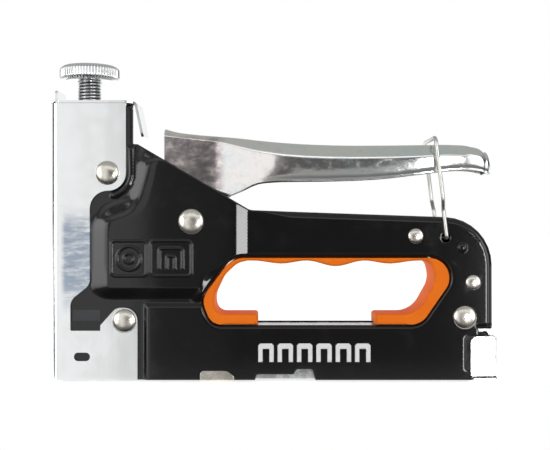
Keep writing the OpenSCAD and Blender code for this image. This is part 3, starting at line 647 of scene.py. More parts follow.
# %% Outlines of the shell
shell_edge = rounded([
    (shell_front, ground_gap, 0), (shell_front, nose_height - 0.9, 0),
    (strip_rear, nose_height - 0.9, 2.2), (strip_rear, slope_top, 0.6),
    (strip_rear + 1.8, slope_top, 1.5), (beam_x, beam_front_z, 5),
    (post_x, beam_height - 0.4, 18.7), (post_x + 0.1, tail_floor, 0.8),
    (rear_x - 8.3, tail_floor, 0.5), (rear_x - 8.3, 18, 0), (rear_x - 13.6, 18, 1.5),
    (rear_x - 13.6, 4.6, 1.5), (rear_x - 10, 4.6, 0), (rear_x - 10, ground_gap, 1),
    (rear_x - 71.7, ground_gap, 0.5), (rear_x - 72.8, ground_gap + 4.2, 1),
    (rear_x - 79, ground_gap + 4.2, 1), (rear_x - 80, ground_gap + 2.2, 0.8),
    (rear_x - 94.4, ground_gap + 2.2, 1), (rear_x - 95, ground_gap, 0.3),
])
opening = rounded([
    (opening_front + 10.6, opening_top, 10), (opening_front - 1.2, 32.5, 7),
    (opening_front + 2.6, opening_floor, 6), (opening_rear - 10.8, opening_floor, 8),
    (opening_rear + 0.3, 38.3, 7), (opening_rear, opening_top, 8),
], 12)
# Crisp edge of the plateau's top, and of the panels
plateau = rounded([
    (front_x + 22.7, 36.6, 1), (front_x + 22.7, 63.3, 5), (front_x + 34.6, 67.2, 10),
    (front_x + 38.2, 79, 12), (front_x + 40.1, slope_top - 4.6, 2.5), (front_x + 71.9, 76.4, 2.5),
    (front_x + 71.9, opening_top - 0.5, 4), (front_x + 67, opening_top - 2, 4),
    (opening_front - 2, 40, 8), (opening_front - 1.4, 36.6, 1),
])
panel_front, panel_corner, past = foot_rear + 2.4, 30.7, 3
panel = rounded([
    (panel_front, ground_gap - past, 0), (panel_front, panel_corner, 0.8),
    (beam_x - 8, panel_corner, 0), (beam_x - 8, beam_front_z + past, 0),
    (rear_x + past, beam_front_z + past, 0), (rear_x + past, ground_gap - past, 0),
])
bead_radius, bead_angle = 8.9, np.radians(np.linspace(0, -75, 16))
bead_line = np.concatenate([
    [[upper_rivet[0] + bead_radius, slope_top - 1.9]],
    upper_rivet + bead_radius * np.stack([np.cos(bead_angle), np.sin(bead_angle)], 1),
])
print(len(shell_edge), "points on the shell's outline")

# %% [markdown]
# The plateau's sides fall at their own slopes: gently towards the hand beam and the nose, steeply
# above and below. The slope at a point is a mix of the four, weighted by the square of how far the
# nearest edge faces each way. A small badge of plain shapes is stamped in its middle.

# %% Height of the pressed sheet
badge_floor, badge_top = 41.4, 55
badge = [rectangle(front_x + x0, front_x + x1, badge_floor, badge_top, 1.6)
         for x0, x1 in ((24, 37.6), (39.2, 55))]
badge_ring = np.array([front_x + 30.8, 48.2])
badge_staple = arch(front_x + 42.6, front_x + 51.6, 44.2, 52, 1)
badge_inner = arch(front_x + 45.6, front_x + 48.6, 44.2, 49, 0.6)
dimple = np.array([rear_x - 14.6, 52.3])


def bump_round(distance, half):
    """A raised line with a round back: the root of 1 - (distance / half)^2, and 0 beyond it."""
    return np.sqrt(np.clip(1 - (distance / half) ** 2, 0, 1))


def plateau_height(p):
    """Height of the plateau and its slopes, without the panels."""
    away, far = nearest(p, plateau)
    far = np.where(inside(p, plateau), 0, far)
    w = away / np.maximum(np.linalg.norm(away, axis=1, keepdims=True), 1e-9)
    right, up = (np.maximum(w, 0) ** 2).T
    left, down = (np.maximum(-w, 0) ** 2).T
    slope = 0.21 * right + 0.29 * left + 0.42 * up + 0.5 * down
    return np.maximum(side_y, plateau_y - slope * far)


def shell_height(p):
    """Height of the sheet over the side view, in millimetres from the middle plane. The plateau is
    averaged over a small ring, wide beside the nose where its edges are soft, and narrow behind."""
    level = side_y + (panel_y - side_y) * np.clip(depth_in(p, panel) / 1.5 + 0.1, 0, 1)
    nose_side = np.clip((front_x + 50 - p[:, :1]) / 12, 0, 1)
    soft = 0.3 + 1.7 * nose_side * np.clip((p[:, 1:] - 38) / 8, 0.3, 1)
    high = np.mean([plateau_height(p + soft * turn) for turn in circle(8)], axis=0)
    level = np.maximum(level, high)
    level += 0.85 * bump_round(nearest(p, bead_line, closed=False)[1], 1.35)
    level += 0.7 * bump_round(np.linalg.norm(p - dimple, axis=1), 1.8)
    off_centre = np.linalg.norm(p - badge_ring, axis=1)
    lines = [bump_round(nearest(p, loop)[1], 0.5) for loop in badge]
    lines += [bump_round(np.abs(off_centre - r), half) for r, half in ((4.6, 0.5), (1.9, 0.45))]
    lines += [bump_round(nearest(p, line, closed=False)[1], 0.55)
              for line in (badge_staple, badge_inner)]
    return level + 0.3 * np.max(lines, axis=0)


# %% [markdown]
# The edge turns down through a quarter circle. Its radius is small where the sheet is cut, and
# larger along the beam and the rear post, where the rim folds in until both shells nearly meet.

# %% Edge strips
def turned_edge(loop, radius, rim, height, hole=False):
    """Strip along a loop: at angle t of a quarter turn it lies radius (1 - sin t) inside the loop
    and radius (1 - cos t) below the sheet, then it runs down to the rim level."""
    n = outward(loop) * (-1 if hole else 1)
    radius = np.broadcast_to(radius, len(loop))
    inset = loop - n * radius[:, None]
    top = height(inset)
    t = np.linspace(0, np.pi / 2, 6)[:, None]
    flat = loop - n * (radius * (1 - np.sin(t)))[..., None]
    level = top - radius * (1 - np.cos(t))
    flat = np.concatenate([flat, flat[-1:]])
    lowest = np.minimum(level[-1], np.broadcast_to(rim, len(loop)))
    level = np.concatenate([level, lowest[None]])
    points = np.stack([flat[..., 0], level, flat[..., 1]], -1)
    return inset, grid(points, around=True, flip=(area(loop) > 0) == hole)


def pressed(outline, radius, rim, height, holes=(), spacing=1.0, extra=()):
    """Skins of a pressed sheet that faces +Y: the lifted blank and its turned edges. Each hole is
    (loop, radius, rim)."""
    inset, strip = turned_edge(outline, radius, rim, height)
    skins, inner = [strip], []
    for loop, r, level in holes:
        hole_inset, hole_strip = turned_edge(loop, r, level, height, hole=True)
        inner.append(hole_inset)
        skins.append(hole_strip)
    flat, tris = blank(inset, inner, spacing, extra)
    return [*skins, lifted(flat, tris, height(flat))]


# %% Pressed shells
shell_loop = spread(shell_edge, 0.9)
opening_loop = spread(opening, 0.8)
along, up = shell_loop.T - [[beam_x + 4], [tail_floor - 0.2]]
folded = (along > 0) & (up > 0)
behind = np.clip(along / 12, 0, 1) * (up > 0)
edge_radius = 0.5 + 2.0 * behind
rim_level = np.where(folded, 0.12, side_y - 0.9)
rim_inset = shell_loop - outward(shell_loop) * edge_radius[:, None]
crease = [(rim_inset - outward(shell_loop) * step)[behind > 0.2] for step in (0.45, 0.95)]
across_dimple = np.arange(-2.4, 2.5, 0.24)
crease += [
    lattice(across_dimple, across_dimple) + dimple, spread(plateau, 0.5), spread(panel, 0.6),
    lattice(np.arange(front_x + 22.6, front_x + 56.4, 0.3), np.arange(40.2, 56.2, 0.3)),
]
foot_hole = bail_foot + 1.75 * circle(28)
holes = [(opening_loop, 1.5, panel_y - 1.6), (foot_hole, 0.45, panel_y - 1.2)]
skins = pressed(shell_loop, edge_radius, rim_level, shell_height, holes, 0.75, crease)


def without_strip(skin):
    """The far shell stops at the housing: it has no faces on the strip behind it."""
    points, faces = skin
    x, z = points[faces][..., 0], points[faces][..., 2]
    on_strip = (x.max(1) > foot_rear - 4.4) & (x.min(1) < strip_rear + 0.2)
    return points, faces[~(on_strip & (z.mean(1) > slope_top + 0.6))]


halves = {"right_shell": map(without_strip, skins), "left_shell": map(mirrored, skins)}
for name, half in halves.items():
    shell = weld(name + "_pressed", half, "frame", "gloss_black", [name], sharp=60)
    dress(thicken(shell, 0.55), "black_enamel")
    print(shell.name, len(shell.data.polygons), "faces")

# %% [markdown]
# ## Folded sheet metal
# The nose housing, the top plate and the magazine clips are cut flat and then folded. They are made
# here the same way: the blank lies along the length of a fold line, and every point is then carried
# onto that line, which bends through arcs.

# %% Folding a blank
def fold_line(corners, steps=10):
    """Line through corners (a, b, radius) with its running length: the path a sheet follows."""
    line = rounded(corners, steps, closed=False)
    return line, running_length(line)


def face_out(piece, middle_point):
    """Turns an open sheet's faces away from a point, by the sum over its faces."""
    mesh = piece.data
    centres, normals = np.empty(len(mesh.polygons) * 3), np.empty(len(mesh.polygons) * 3)
    areas = np.empty(len(mesh.polygons))
    mesh.polygons.foreach_get("center", centres)
    mesh.polygons.foreach_get("normal", normals)
    mesh.polygons.foreach_get("area", areas)
    away = centres.reshape(-1, 3) - np.array(middle_point) / 1000
    if (np.sum(away * normals.reshape(-1, 3), 1) * areas).sum() < 0:
        mesh.flip_normals()
    return piece


def folded(name, outline, path, axes, sheet, body, slot, nodes, centre, finish_name,
           holes=(), spacing=1.2, bevel=0.18, bends=()):
    """A blank with points (length, width) carried onto a fold line. Axes say which coordinates of
    the tool the fold line's two directions and the blank's width become. Bends are the stretches
    of length that need closer points, and the faces point away from the centre."""
    line, run = path
    wide = np.arange(outline[:, 1].min(), outline[:, 1].max(), 1.2)
    extra = [lattice(np.arange(start, stop, 0.35), wide) for start, stop in bends]
    flat, tris = blank(spread(outline, 0.6), [spread(h, 0.5) for h in holes], spacing, extra)
    points = np.zeros((len(flat), 3))
    points[:, axes[0]] = np.interp(flat[:, 0], run, line[:, 0])
    points[:, axes[1]] = np.interp(flat[:, 0], run, line[:, 1])
    points[:, axes[2]] = flat[:, 1]
    piece = weld(name, [(points, tris)], body, slot, nodes)
    return dress(thicken(face_out(piece, centre), sheet, bevel), finish_name)


# %% [markdown]
# The nose housing wraps round the front: two sides and a narrow front with rounded upright
# corners. Each side is cut round the upper rivet, runs down in an S to the window of the stop
# block, and ends in a foot that carries the lower rivet and an obround slot.

# %% Nose housing
neck_z = upper_rivet[1] - 6.9
neck_x = housing_front + 15
side_cut = rounded([
    (foot_rear - 4.5, nose_height, 0.5), (foot_rear - 4.5, neck_z, 6.9),
    (neck_x, neck_z, 7), (neck_x, 37.9, 4),
    (window_front, 31.9, 5), (window_front, window_floor, 0.5), (window_rear, window_floor, 0.4),
    (window_rear, 22.2, 1), (window_rear + 6.1, 29, 4), (foot_rear, 29, 5.1),
    (foot_rear, ground_gap, 0.3),
], closed=False)
side_cut = np.concatenate([side_cut, [[foot_rear, ground_gap]]])
nose_radius = 2.4
nose_path = fold_line([(foot_rear, -housing_y, 0), (housing_front, -housing_y, nose_radius),
                       (housing_front, housing_y, nose_radius), (foot_rear, housing_y, 0)])
half = nose_path[1][-1] / 2
unrolled = np.stack([side_cut[:, 0] - foot_rear + 2 * half, side_cut[:, 1]], 1)
outline = np.concatenate([unrolled, (unrolled * [-1, 1] + [2 * half, 0])[::-1]])
corner_run = half - housing_y + nose_radius
slot = rectangle(-3.1, 3.1, -1.65, 1.65, 1.64) + [0, 10]
slot_run = foot_rear - (housing_front + 12)
slots = [slot + [slot_run, 0], slot + [2 * half - slot_run, 0]]
corner = np.array([corner_run - 4.6, corner_run + 0.6])
folded("nose_housing", outline, nose_path, (0, 1, 2), housing_sheet, "frame", "chrome",
       ["front_housing"], (housing_front + 20, 0, 50), "bright_plate",
       slots, 1.6, 0.3, [corner, 2 * half - corner[::-1]])

# %% [markdown]
# The top plate closes the nose: a tab stands up at its front, and a tongue folds down behind the
# shells. The wear plate inside the front wall curls forward over it.

# %% Top plate and wear plate
bend_x = strip_rear + 1.2
plate_top = nose_height + 1.1
low, high = limits("top_plate")
tab_x, tab_z = low[0] + 0.05, high[2]
plate_path = fold_line([(tab_x, tab_z, 0), (tab_x, plate_top, 0.5),
                        (bend_x + 0.1, plate_top, 2.4), (bend_x + 2.9, nose_height - 12.6, 0)])
tab_length = tab_z - plate_top
flat_end = tab_length + bend_x - tab_x - 1.5
plate_y, tab_y = side_y - 0.4, side_y - 1.6
one_side = [
    (0, -tab_y, 1), (tab_length + 0.3, -tab_y, 0), (tab_length + 0.3, -housing_y, 0.4),
    (flat_end - 2, -housing_y, 2), (flat_end, -plate_y, 1),
    (plate_path[1][-1], -plate_y + 0.8, 1.5),
]
outline = rounded(one_side + [(run, -y, r) for run, y, r in one_side[::-1]])
screw_hole = 5.3 * circle(48) + [tab_length + screw_x - tab_x - 0.2, 0]
folded("top_plate_folded", outline, plate_path, (0, 2, 1), 1.0, "frame", "zinc",
       ["top_plate"], (screw_x, 0, 60), "bright_plate", [screw_hole], 1.2, 0.15,
       [(tab_length - 1, tab_length + 1), (flat_end - 3, flat_end + 3)])

low, high = limits("front_plate")
curl_x, wall_x, curl_top = low[0] + 0.8, high[0] - 0.3, high[2] - 0.15
curl_path = fold_line([(curl_x, high[2] - 1.3, 0), (curl_x, curl_top, 0.5),
                       (wall_x, curl_top, 0.9), (wall_x, low[2], 0)], 8)
long = curl_path[1][-1]
outline = rounded([(0, low[1], 0.8), (long, low[1], 0), (long, high[1], 0), (0, high[1], 0.8)])
folded("wear_plate", outline, curl_path, (0, 2, 1), 0.7, "frame", "zinc",
       ["front_plate"], (60, 0, 0), "bright_plate", (), 3, 0.1, [(0, 4)])

# %% [markdown]
# ## Tension screw
# The knob's rim is a wave of 60 round ribs, with a chamfer above and below and a dished top. The
# screw's thread is one surface whose radius follows a ramp that climbs one pitch in each turn.

# %% Root attribute
def mark_roots(piece, crest, depth):
    """Attribute that is 0 at the crest radius and 1 at depth inside it, round the screw's axis."""
    co = np.empty(len(piece.data.vertices) * 3)
    piece.data.vertices.foreach_get("co", co)
    x, y, z = co.reshape(-1, 3).T * 1000
    value = np.clip((crest(z) - np.hypot(x - screw_x, y)) / depth, 0, 1)
    piece.data.attributes.new("root", "FLOAT", "POINT").data.foreach_set("value", value)


# %% Knurled knob
low, high = limits("tension_knob")
knob_radius, knob_low, knob_high = (high[0] - low[0]) / 2, low[2], high[2]
ribs, sides = 60, 480
angle = np.linspace(0, 2 * np.pi, sides, endpoint=False)
rib = np.abs(np.sin(ribs / 2 * angle)) ** 0.75
rim = [  # radius inside the rim, share of the ribs' depth, height
    (2.1, 0, 0), (1.35, 0, 0.12), (0.9, 0, 0.45), (0.5, 0.5, 0.8), (0.12, 0.9, 1.15), (0, 1, 1.6),
    (0, 1, 4.5), (0.12, 0.9, 4.95), (0.5, 0.5, 5.3), (0.9, 0, 5.65), (1.4, 0, 5.95), (2.1, 0, 6.1),
    (3.4, 0, 6.1), (3.9, 0, 5.8),
]
rows = [(4.8, 0, 0), *((knob_radius - back, share, z) for back, share, z in rim)]
rows += [(3.2, 0, 5.7), (2.9, 0, 5.3), (0, 0, 5.3)]
base, share, z = np.array(rows).T
radius = base[:, None] - 0.62 * share[:, None] * (1 - rib)
knob = weld("knurled_knob", [grid(turned(radius, knob_low + z, sides, screw_x), around=True)],
            "tension_screw", "zinc", ["tension_knob"], sharp=50)
dress(face_out(knob, (screw_x, 0, (knob_low + knob_high) / 2)), "shaded_roots")


def ribbed(z):
    """The knob's radius between its two chamfers, and 0 beyond them."""
    return np.where((z > knob_low + 0.9) & (z < knob_high - 0.9), knob_radius, 0)


mark_roots(knob, ribbed, 1.1)

# %% Threaded screw
low, high = limits("tension_screw")
pitch, thread_depth, screw_radius, sides = 1.25, 0.78, (high[0] - low[0]) / 2, 64
z = np.arange(low[2], high[2], pitch / 10)
z = z[z < high[2] - 0.05]
phase = (z[:, None] / pitch - np.arange(sides) / sides) % 1
tooth = np.clip(1.25 - 2.5 * np.abs(phase - 0.5), 0, 1)
radius = screw_radius - thread_depth * (1 - tooth)
closed_radius = np.concatenate([0 * radius[:1], radius, 0 * radius[:1]])
closed_z = np.concatenate([z[:1], z, z[-1:]])
screw = weld("threaded_screw", [grid(turned(closed_radius, closed_z, sides, screw_x), around=True)],
             "tension_screw", "zinc", ["tension_screw"], sharp=70)
dress(face_out(screw, (screw_x, 0, (low[2] + high[2]) / 2)), "shaded_roots")
mark_roots(screw, lambda z: screw_radius, 0.7)
print("thread of", len(z), "rows")

# %% [markdown]
# ## Rivets
# A rivet head is a dome turned from a short profile: a small straight rim, then an arc that is
# flatter at its crown. The shank is turned with it, so that each rivet is one closed solid.

# %% Rivets
def dome_profile(radius, height):
    """(radius, height) pairs from the rim to the crown: an ellipse on a straight rim of 0.25 mm."""
    t = np.linspace(0, np.pi / 2, 14)
    arc = np.stack([radius * np.cos(t) ** 0.92, 0.25 + (height - 0.25) * np.sin(t)], 1)
    return np.concatenate([[[radius - 0.12, 0]], arc])


def rivet_skins(centre, head, height, level, shank):
    """Skins of one rivet across the tool: both domes, joined by the shank."""
    dome = dome_profile(head / 2, height)
    profile = np.concatenate([[[shank, 0], [shank, level]], dome + [0, level]])
    axes = [[1, 0, 0], [0, 0, -1], [0, 1, 0]]
    skin = place(lathe(profile, 56), (centre[0], 0, centre[1]), axes)
    return both_sides([skin])


rivets = {  # node: head, rise, shank, and (place, level) of each
    "pivot_rivet": (10.0, 1.9, 2.4, [(pivot, plateau_y)]),
    "large_rivets": (9.3, 1.9, 1.8, [(upper_rivet, housing_y), (lower_rivet, housing_y),
                                     (rear_rivet, panel_y + 0.3)]),
    "small_rivets": (6.0, 1.2, 1.8, [(beam_rivet, panel_y), (post_rivet, panel_y)]),
}
for node, (head, rise, shank, places) in rivets.items():
    skins = [skin for at, level in places for skin in rivet_skins(at, head, rise, level, shank)]
    dress(weld(node + "_turned", skins, "frame", "nickel", [node], sharp=60, recalc=True), "nickel")

# %% [markdown]
# ## Squeeze handle
# The handle is one drawn sheet. Its section is an arch: two upright sides, a rounded shoulder and a
# crowned top. The arch's heights and half width change along the tool, as smooth curves through a
# few stations, and its tail closes downwards.

# %% Handle sections
def smooth(x, stations, values):
    """Curve through stations with slopes taken from their neighbours (a cubic Hermite spline)."""
    s, v = np.asarray(stations, float), np.asarray(values, float)
    slope = np.gradient(v, s)
    k = np.clip(np.searchsorted(s, x) - 1, 0, len(s) - 2)
    h = s[k + 1] - s[k]
    t = np.clip((x - s[k]) / h, 0, 1)
    a, b = 2 * t**3 - 3 * t**2 + 1, t**3 - 2 * t**2 + t
    return a * v[k] + b * h * slope[k] + (1 - a) * v[k + 1] + (t**3 - t**2) * h * slope[k + 1]


low, high = limits("lever")
lever_front, tail_x = low[0], high[0]
palm_top = beam_height + 28.6
palm_floor = palm_top - 13.9
cheek_y, palm_y = 7.3, high[1]
sections = np.array([
    # along, top, shoulder, floor, half width
    (0, 6.5, 3, -3, cheek_y), (4, 5.4, 2.6, -3.4, cheek_y), (12, 4.3, 1.7, -5, cheek_y),
    (22, 3.5, 0.4, -7, cheek_y + 0.15), (29, 2.9, -1.6, -4.6, cheek_y + 1.2),
    (36, 2.1, -3.6, -1.4, palm_y - 1.6), (43, 1.4, -4.8, -0.5, palm_y - 0.6),
    (51, 0.8, -5.7, -0.3, palm_y - 0.15), (65, 0.2, -6.4, -0.1, palm_y - 0.02),
    (88, 0.1, -6.4, 1, palm_y - 0.1), (103, 0.3, -5.9, 2.8, palm_y - 0.4),
    (113, 0.3, -5.6, 4, palm_y - 1), (120, -0.3, -6, 4.1, palm_y - 1.9),
    (125.2, -2.3, -7.6, 3.2, palm_y - 3.6), (127.6, -5.4, -9.2, 2.3, palm_y - 5.4),
    (128.2, -9.2, -10.4, 2, palm_y - 6.6),
]) + [lever_front, palm_top, palm_top, palm_floor, 0]
tail_length = 8
tail_start = tail_x - tail_length
tail = tail_start + tail_length * np.sin(np.linspace(0, np.pi / 2, 30))[1:]
x = np.concatenate([np.linspace(lever_front, tail_start, 150), tail])
top_z, shoulder_z, floor_z, half_y = (
    smooth(x, sections[:, 0], values)[:, None] for values in sections[:, 1:].T)
side_rows, arch_rows = np.linspace(0, 1, 16), np.radians(np.linspace(0, 90, 22))[1:]
y = np.concatenate([half_y + 0 * side_rows, half_y * np.cos(arch_rows) ** 0.9], 1)
arch_z = shoulder_z + (top_z - shoulder_z) * np.sin(arch_rows) ** 0.9
z = np.concatenate([floor_z + (shoulder_z - floor_z) * side_rows, arch_z], 1)
toe_in = np.clip((x[:, None] + 5) / 12, 0, 1)
y -= 0.35 * np.exp(-((z - floor_z) / 1.2) ** 2) + 0.8 * np.exp(-((z - floor_z) / 4.5) ** 2) * toe_in
y = np.concatenate([y, -y[:, -2::-1]], 1)
z = np.concatenate([z, z[:, -2::-1]], 1)
points = np.stack([np.repeat(x[:, None], y.shape[1], 1), y, z], -1)
tail_cap = points[-1:] * [1, 0, 1]
handle_sheet = 1.2
lever = weld("squeeze_handle", [grid(np.concatenate([points, tail_cap]))], "handle", "chrome",
             ["lever"], sharp=50)
dress(thicken(face_out(lever, (0, 0, palm_floor)), handle_sheet, 0.3), "polished_chrome")

# %% Cheeks beside the pivot
cheek = rounded([
    (lever_front, beam_front_z + 14.5, 0), (lever_front, pivot[1] + 16, 4),
    (pivot[0] - 7.4, pivot[1] - 2, 3), (pivot[0] - 5, pivot[1] - 7, 5),
    (pivot[0] + 6, pivot[1] - 7, 5), (lever_front + 22, palm_floor - 7.2, 4),
    (lever_front + 22.4, palm_floor - 5.6, 0), (lever_front + 10, palm_floor - 3, 0),
])
flat, tris = blank(spread(cheek, 1.0), (), 1.6)
flare = 0.1 * np.clip((flat[:, 0] - lever_front - 10) / 12, 0, 1)
skins = both_sides([lifted(flat, tris, cheek_y + flare)])
cheeks = weld("handle_cheeks", skins, "handle", "chrome", [], sharp=50)
dress(thicken(cheeks, handle_sheet, 0.2), "polished_chrome")

# %% [markdown]
# ## Lock bail
# The bail is one bent wire. A round section is carried along its centre line: at each point the
# section stands square to the line's direction.

# %% Wire bail
def tube(line, radius, sides=16):
    """Round tube along points (n, 3): a circle in the plane square to the local direction, with a
    pole at each end."""
    t = unit(np.gradient(line, axis=0))
    a = unit(np.cross(t, np.array([1.0, 0.03, 0.02])))
    b = np.cross(t, a)
    u, v = circle(sides).T[..., None]
    ring = line[:, None] + radius * (u * a[:, None] + v * b[:, None])
    ends = [np.repeat(line[i][None, None], sides, 1) for i in (0, -1)]
    return grid(np.concatenate([ends[0], ring, ends[1]]), around=True)


wire = 1.6
low_y, high_y = panel_y + wire / 2 + 0.25, limits("lock_bail")[1][1] - wire / 2
reach = 38.87
leg = [(side_y - 2.6, 0, 0), (low_y, 0, 0.8), (low_y, 11, 3), (high_y, 15, 3), (high_y, reach, 2.6)]
bail = rounded(leg + [(-a, b, r) for a, b, r in leg[::-1]], 8, closed=False)
run = running_length(bail)
fine = np.linspace(0, run[-1], 220)
side, up = (np.interp(fine, run, values) for values in bail.T)
lean = math.radians(-7)
line = np.stack([bail_foot[0] + up * math.sin(lean), side, bail_foot[1] + up * math.cos(lean)], 1)
wire_bail = weld("wire_bail", [tube(line, wire / 2 - 0.01)], "lock", "nickel", ["lock_bail"],
                 sharp=60, recalc=True)
dress(wire_bail, "drawn_wire")

# %% [markdown]
# ## Finger grip
# The grip is a rubber band in the opening, with a rounded lip on each side. Its face is a pressed
# blank too, and the inner wall is the turned edge that runs to the middle plane, where it meets the
# mirror image of itself.

# %% Rubber finger grip
def grip_height(p):
    """A flat face just proud of the panels."""
    return np.full(len(p), panel_y + 0.28)


gap_front, gap_rear, band_top = opening_front + 20.8, opening_rear - 28.4, opening_floor + 4.2
t = np.linspace(0, 1, 33)[1:-1]
wave_x = opening_rear - 10 + (opening_front + 27 - opening_rear) * t
wave_z = opening_top - 1.3 - 2.2 * np.sin(np.pi * t) * (1 - np.cos(6 * np.pi * t)) / 2
inner = np.concatenate([
    rounded([
        (gap_rear, opening_floor + 1, 0), (gap_rear, band_top, 1.2),
        (opening_rear - 12.4, band_top, 10), (opening_rear - 5.2, 39.3, 9),
        (opening_rear - 7, opening_top - 1.3, 3.5), (wave_x[0], wave_z[0], 0)], closed=False),
    np.stack([wave_x, wave_z], 1),
    rounded([
        (opening_front + 17, opening_top - 1.3, 0), (opening_front + 13, opening_top - 2.2, 8),
        (opening_front + 7.4, opening_top - 7.6, 9), (opening_front + 3.6, 33, 9),
        (opening_front + 4.6, band_top, 4),
        (gap_front, band_top, 1.2), (gap_front, opening_floor + 1, 0)], closed=False),
])
outer = opening - outward(opening) * 0.3
bottom = outer[:, 1] < opening_floor + 1
front_end = np.argmin(np.where(bottom, np.abs(outer[:, 0] - (opening_front + 8)), 1e9))
outer = np.roll(outer, -front_end, 0)
if area(outer) > 0:
    outer = np.roll(outer[::-1], 1, 0)
beside_gap = (outer[:, 0] < gap_front - 1) | (outer[:, 0] > gap_rear + 1)
outer = outer[(outer[:, 1] > opening_floor + 0.31) | beside_gap]
ends = [[[gap_front, opening_floor + 0.3]], [[gap_rear, opening_floor + 0.3]]]
grip_outline = np.concatenate([ends[0], outer, ends[1], inner])
grip_loop = spread(grip_outline, 0.6)
near_inner = nearest(grip_loop, outer, closed=False)[1] > 0.6
skins = pressed(grip_loop, np.where(near_inner, 0.95, 0.3), 0.0, grip_height, (), 1.0)
grip = weld("finger_grip_moulded", both_sides(skins), "frame", "orange_rubber",
            ["finger_grip"], sharp=60)
dress(grip, "orange_rubber")
print("grip", len(grip.data.polygons), "faces")

# %% [markdown]
# ## Magazine
# The channel, the rail and the pusher keep their solids, which already have the right shape. The
# bridge under the body, and the clip at the rear, are folded sheet with rounded corners.

# %% Bridge clip under the body
low, high = limits("magazine_bridge")
bridge_path = fold_line([(low[1], high[2], 0), (low[1], low[2], 1.1),
                         (high[1], low[2], 1.1), (high[1], high[2], 0)])
long = bridge_path[1][-1]
outline = rounded([(0, low[0], 1.6), (0, high[0] - 3, 3), (2.1, high[0], 1.2),
                   (long - 2.1, high[0], 1.2), (long, high[0] - 3, 3), (long, low[0], 1.6)])
folded("magazine_bridge_folded", outline, bridge_path, (1, 2, 0), 0.7, "frame", "zinc",
       ["magazine_bridge"], (middle("magazine_bridge")[0], 0, 10), "nickel",
       (), 2, 0.15, [(3, 6.5), (long - 6.5, long - 3)])

# %% Rear clip with its pull lip
low, high = limits("rear_clip")
clip_x, clip_y, clip_top = low[0], high[1], high[2]
clip_back, back_y = rear_x - 1.05, clip_y - 0.55
clip_path = fold_line([(clip_x, -clip_y, 0), (clip_back, -back_y, 0.9),
                       (clip_back, back_y, 0.9), (clip_x, clip_y, 0)])
long = clip_path[1][-1]
outline = rounded([(0, 2.6, 0.7), (0, clip_top, 2.4), (long, clip_top, 2.4), (long, 2.6, 0.7)])
folded("rear_clip_folded", outline, clip_path, (0, 1, 2), 0.8, "drawer", "zinc",
       ["rear_clip"], (clip_x, 0, 10), "bright_plate", (), 2, 0.2, [(8, 12), (long - 12, long - 8)])
lip_path = fold_line([(clip_x + 0.6, 0.75, 0), (rear_x - 1.1, 0.75, 0), (rear_x - 0.5, 1.6, 0.4)])
long, wide, narrow = lip_path[1][-1], clip_y - 1.4, clip_y - 2.2
outline = rounded([(0, -wide, 1), (long, -narrow, 1.5), (long, narrow, 1.5), (0, wide, 1)])
folded("pull_lip", outline, lip_path, (0, 2, 1), 0.7, "drawer", "zinc",
       [], (80, 0, 40), "bright_plate", (), 2, 0.15)

# %% [markdown]
# ## Stop block
# The grey block's ears fill the window. Each is a small moulded block with a step across it.

# %% Stop block
(x0, _, z0), (x1, _, z1) = block_low, block_high
block = rounded([(x0, z0, 0.4), (x1, z0, 0.4), (x1, z1, 0.6), (x0, z1, 0.6)])


def block_height(p):
    """Face of the block: proud above a shallow step, a little lower below it."""
    return block_high[1] - 0.35 * np.clip((block_low[2] + 3.4 - p[:, 1]) / 0.25, 0, 1)


skins = pressed(spread(block, 0.5), 0.35, side_y - 3, block_height, (), 0.6)
ears = weld("stop_block_moulded", both_sides(skins), "frame", "grey_rubber",
            ["striker_buffer"], sharp=50)
dress(ears, "grey_rubber")

# %% [markdown]
# ## Print
# The lower panel carries a row of plain white staple marks. Each mark is a thin film that lies
# just above the enamel.

# %% Printed marks
print_left, print_floor, mark_step, mark_count, ink_film_and_root_shade = front_x + 80.8, 8.0, 7.5, 6, 0.06
mark = np.array([(0, 0), (1.7, 0), (1.7, 5.1), (4.3, 5.1), (4.3, 0), (6, 0),
                 (6, 6.4), (5.2, 7.2), (0.8, 7.2), (0, 6.4)], float)
skins = []
for k in range(mark_count):
    flat, tris = blank(spread(mark + [print_left + k * mark_step, print_floor], 0.8), (), 0.8)
    skins.append(lifted(flat, tris, np.full(len(flat), panel_y + ink_film_and_root_shade)))
marks = weld("printed_marks", both_sides(skins), "frame", "gloss_black", [])
dress(thicken(marks, 0.05), "white_print")

# %% [markdown]
# ## Coil springs
# A coil spring is a wire carried round a helix. The last turn at each end closes up and lies flat,
# so the spring stands square. Both springs shorten when the tool works.

# %% Coil springs
def coil(start, stop, radius, wire_radius, turns):
    """Centre line of a coil from start to stop: a helix whose pitch falls to the wire's own
    thickness in the first and last turn."""
    t = np.linspace(0, turns, int(turns * 26))
    climb = np.clip(np.minimum(t, turns - t), 0, 1)
    weight = 0.12 + 0.88 * climb ** 2
    share = np.concatenate([[0], np.cumsum((weight[1:] + weight[:-1]) / 2)])
    share = share / share[-1]
    start, stop = np.array(start, float), np.array(stop, float)
    axis = unit(stop - start)
    a = unit(np.cross(axis, [0.0, 1.0, 0.0]))
    b = np.cross(axis, a)
    ends = start + axis * wire_radius, stop - axis * wire_radius
    turn = 2 * np.pi * t[:, None]
    along = ends[0] + share[:, None] * (ends[1] - ends[0])
    return along + radius * (np.cos(turn) * a + np.sin(turn) * b)


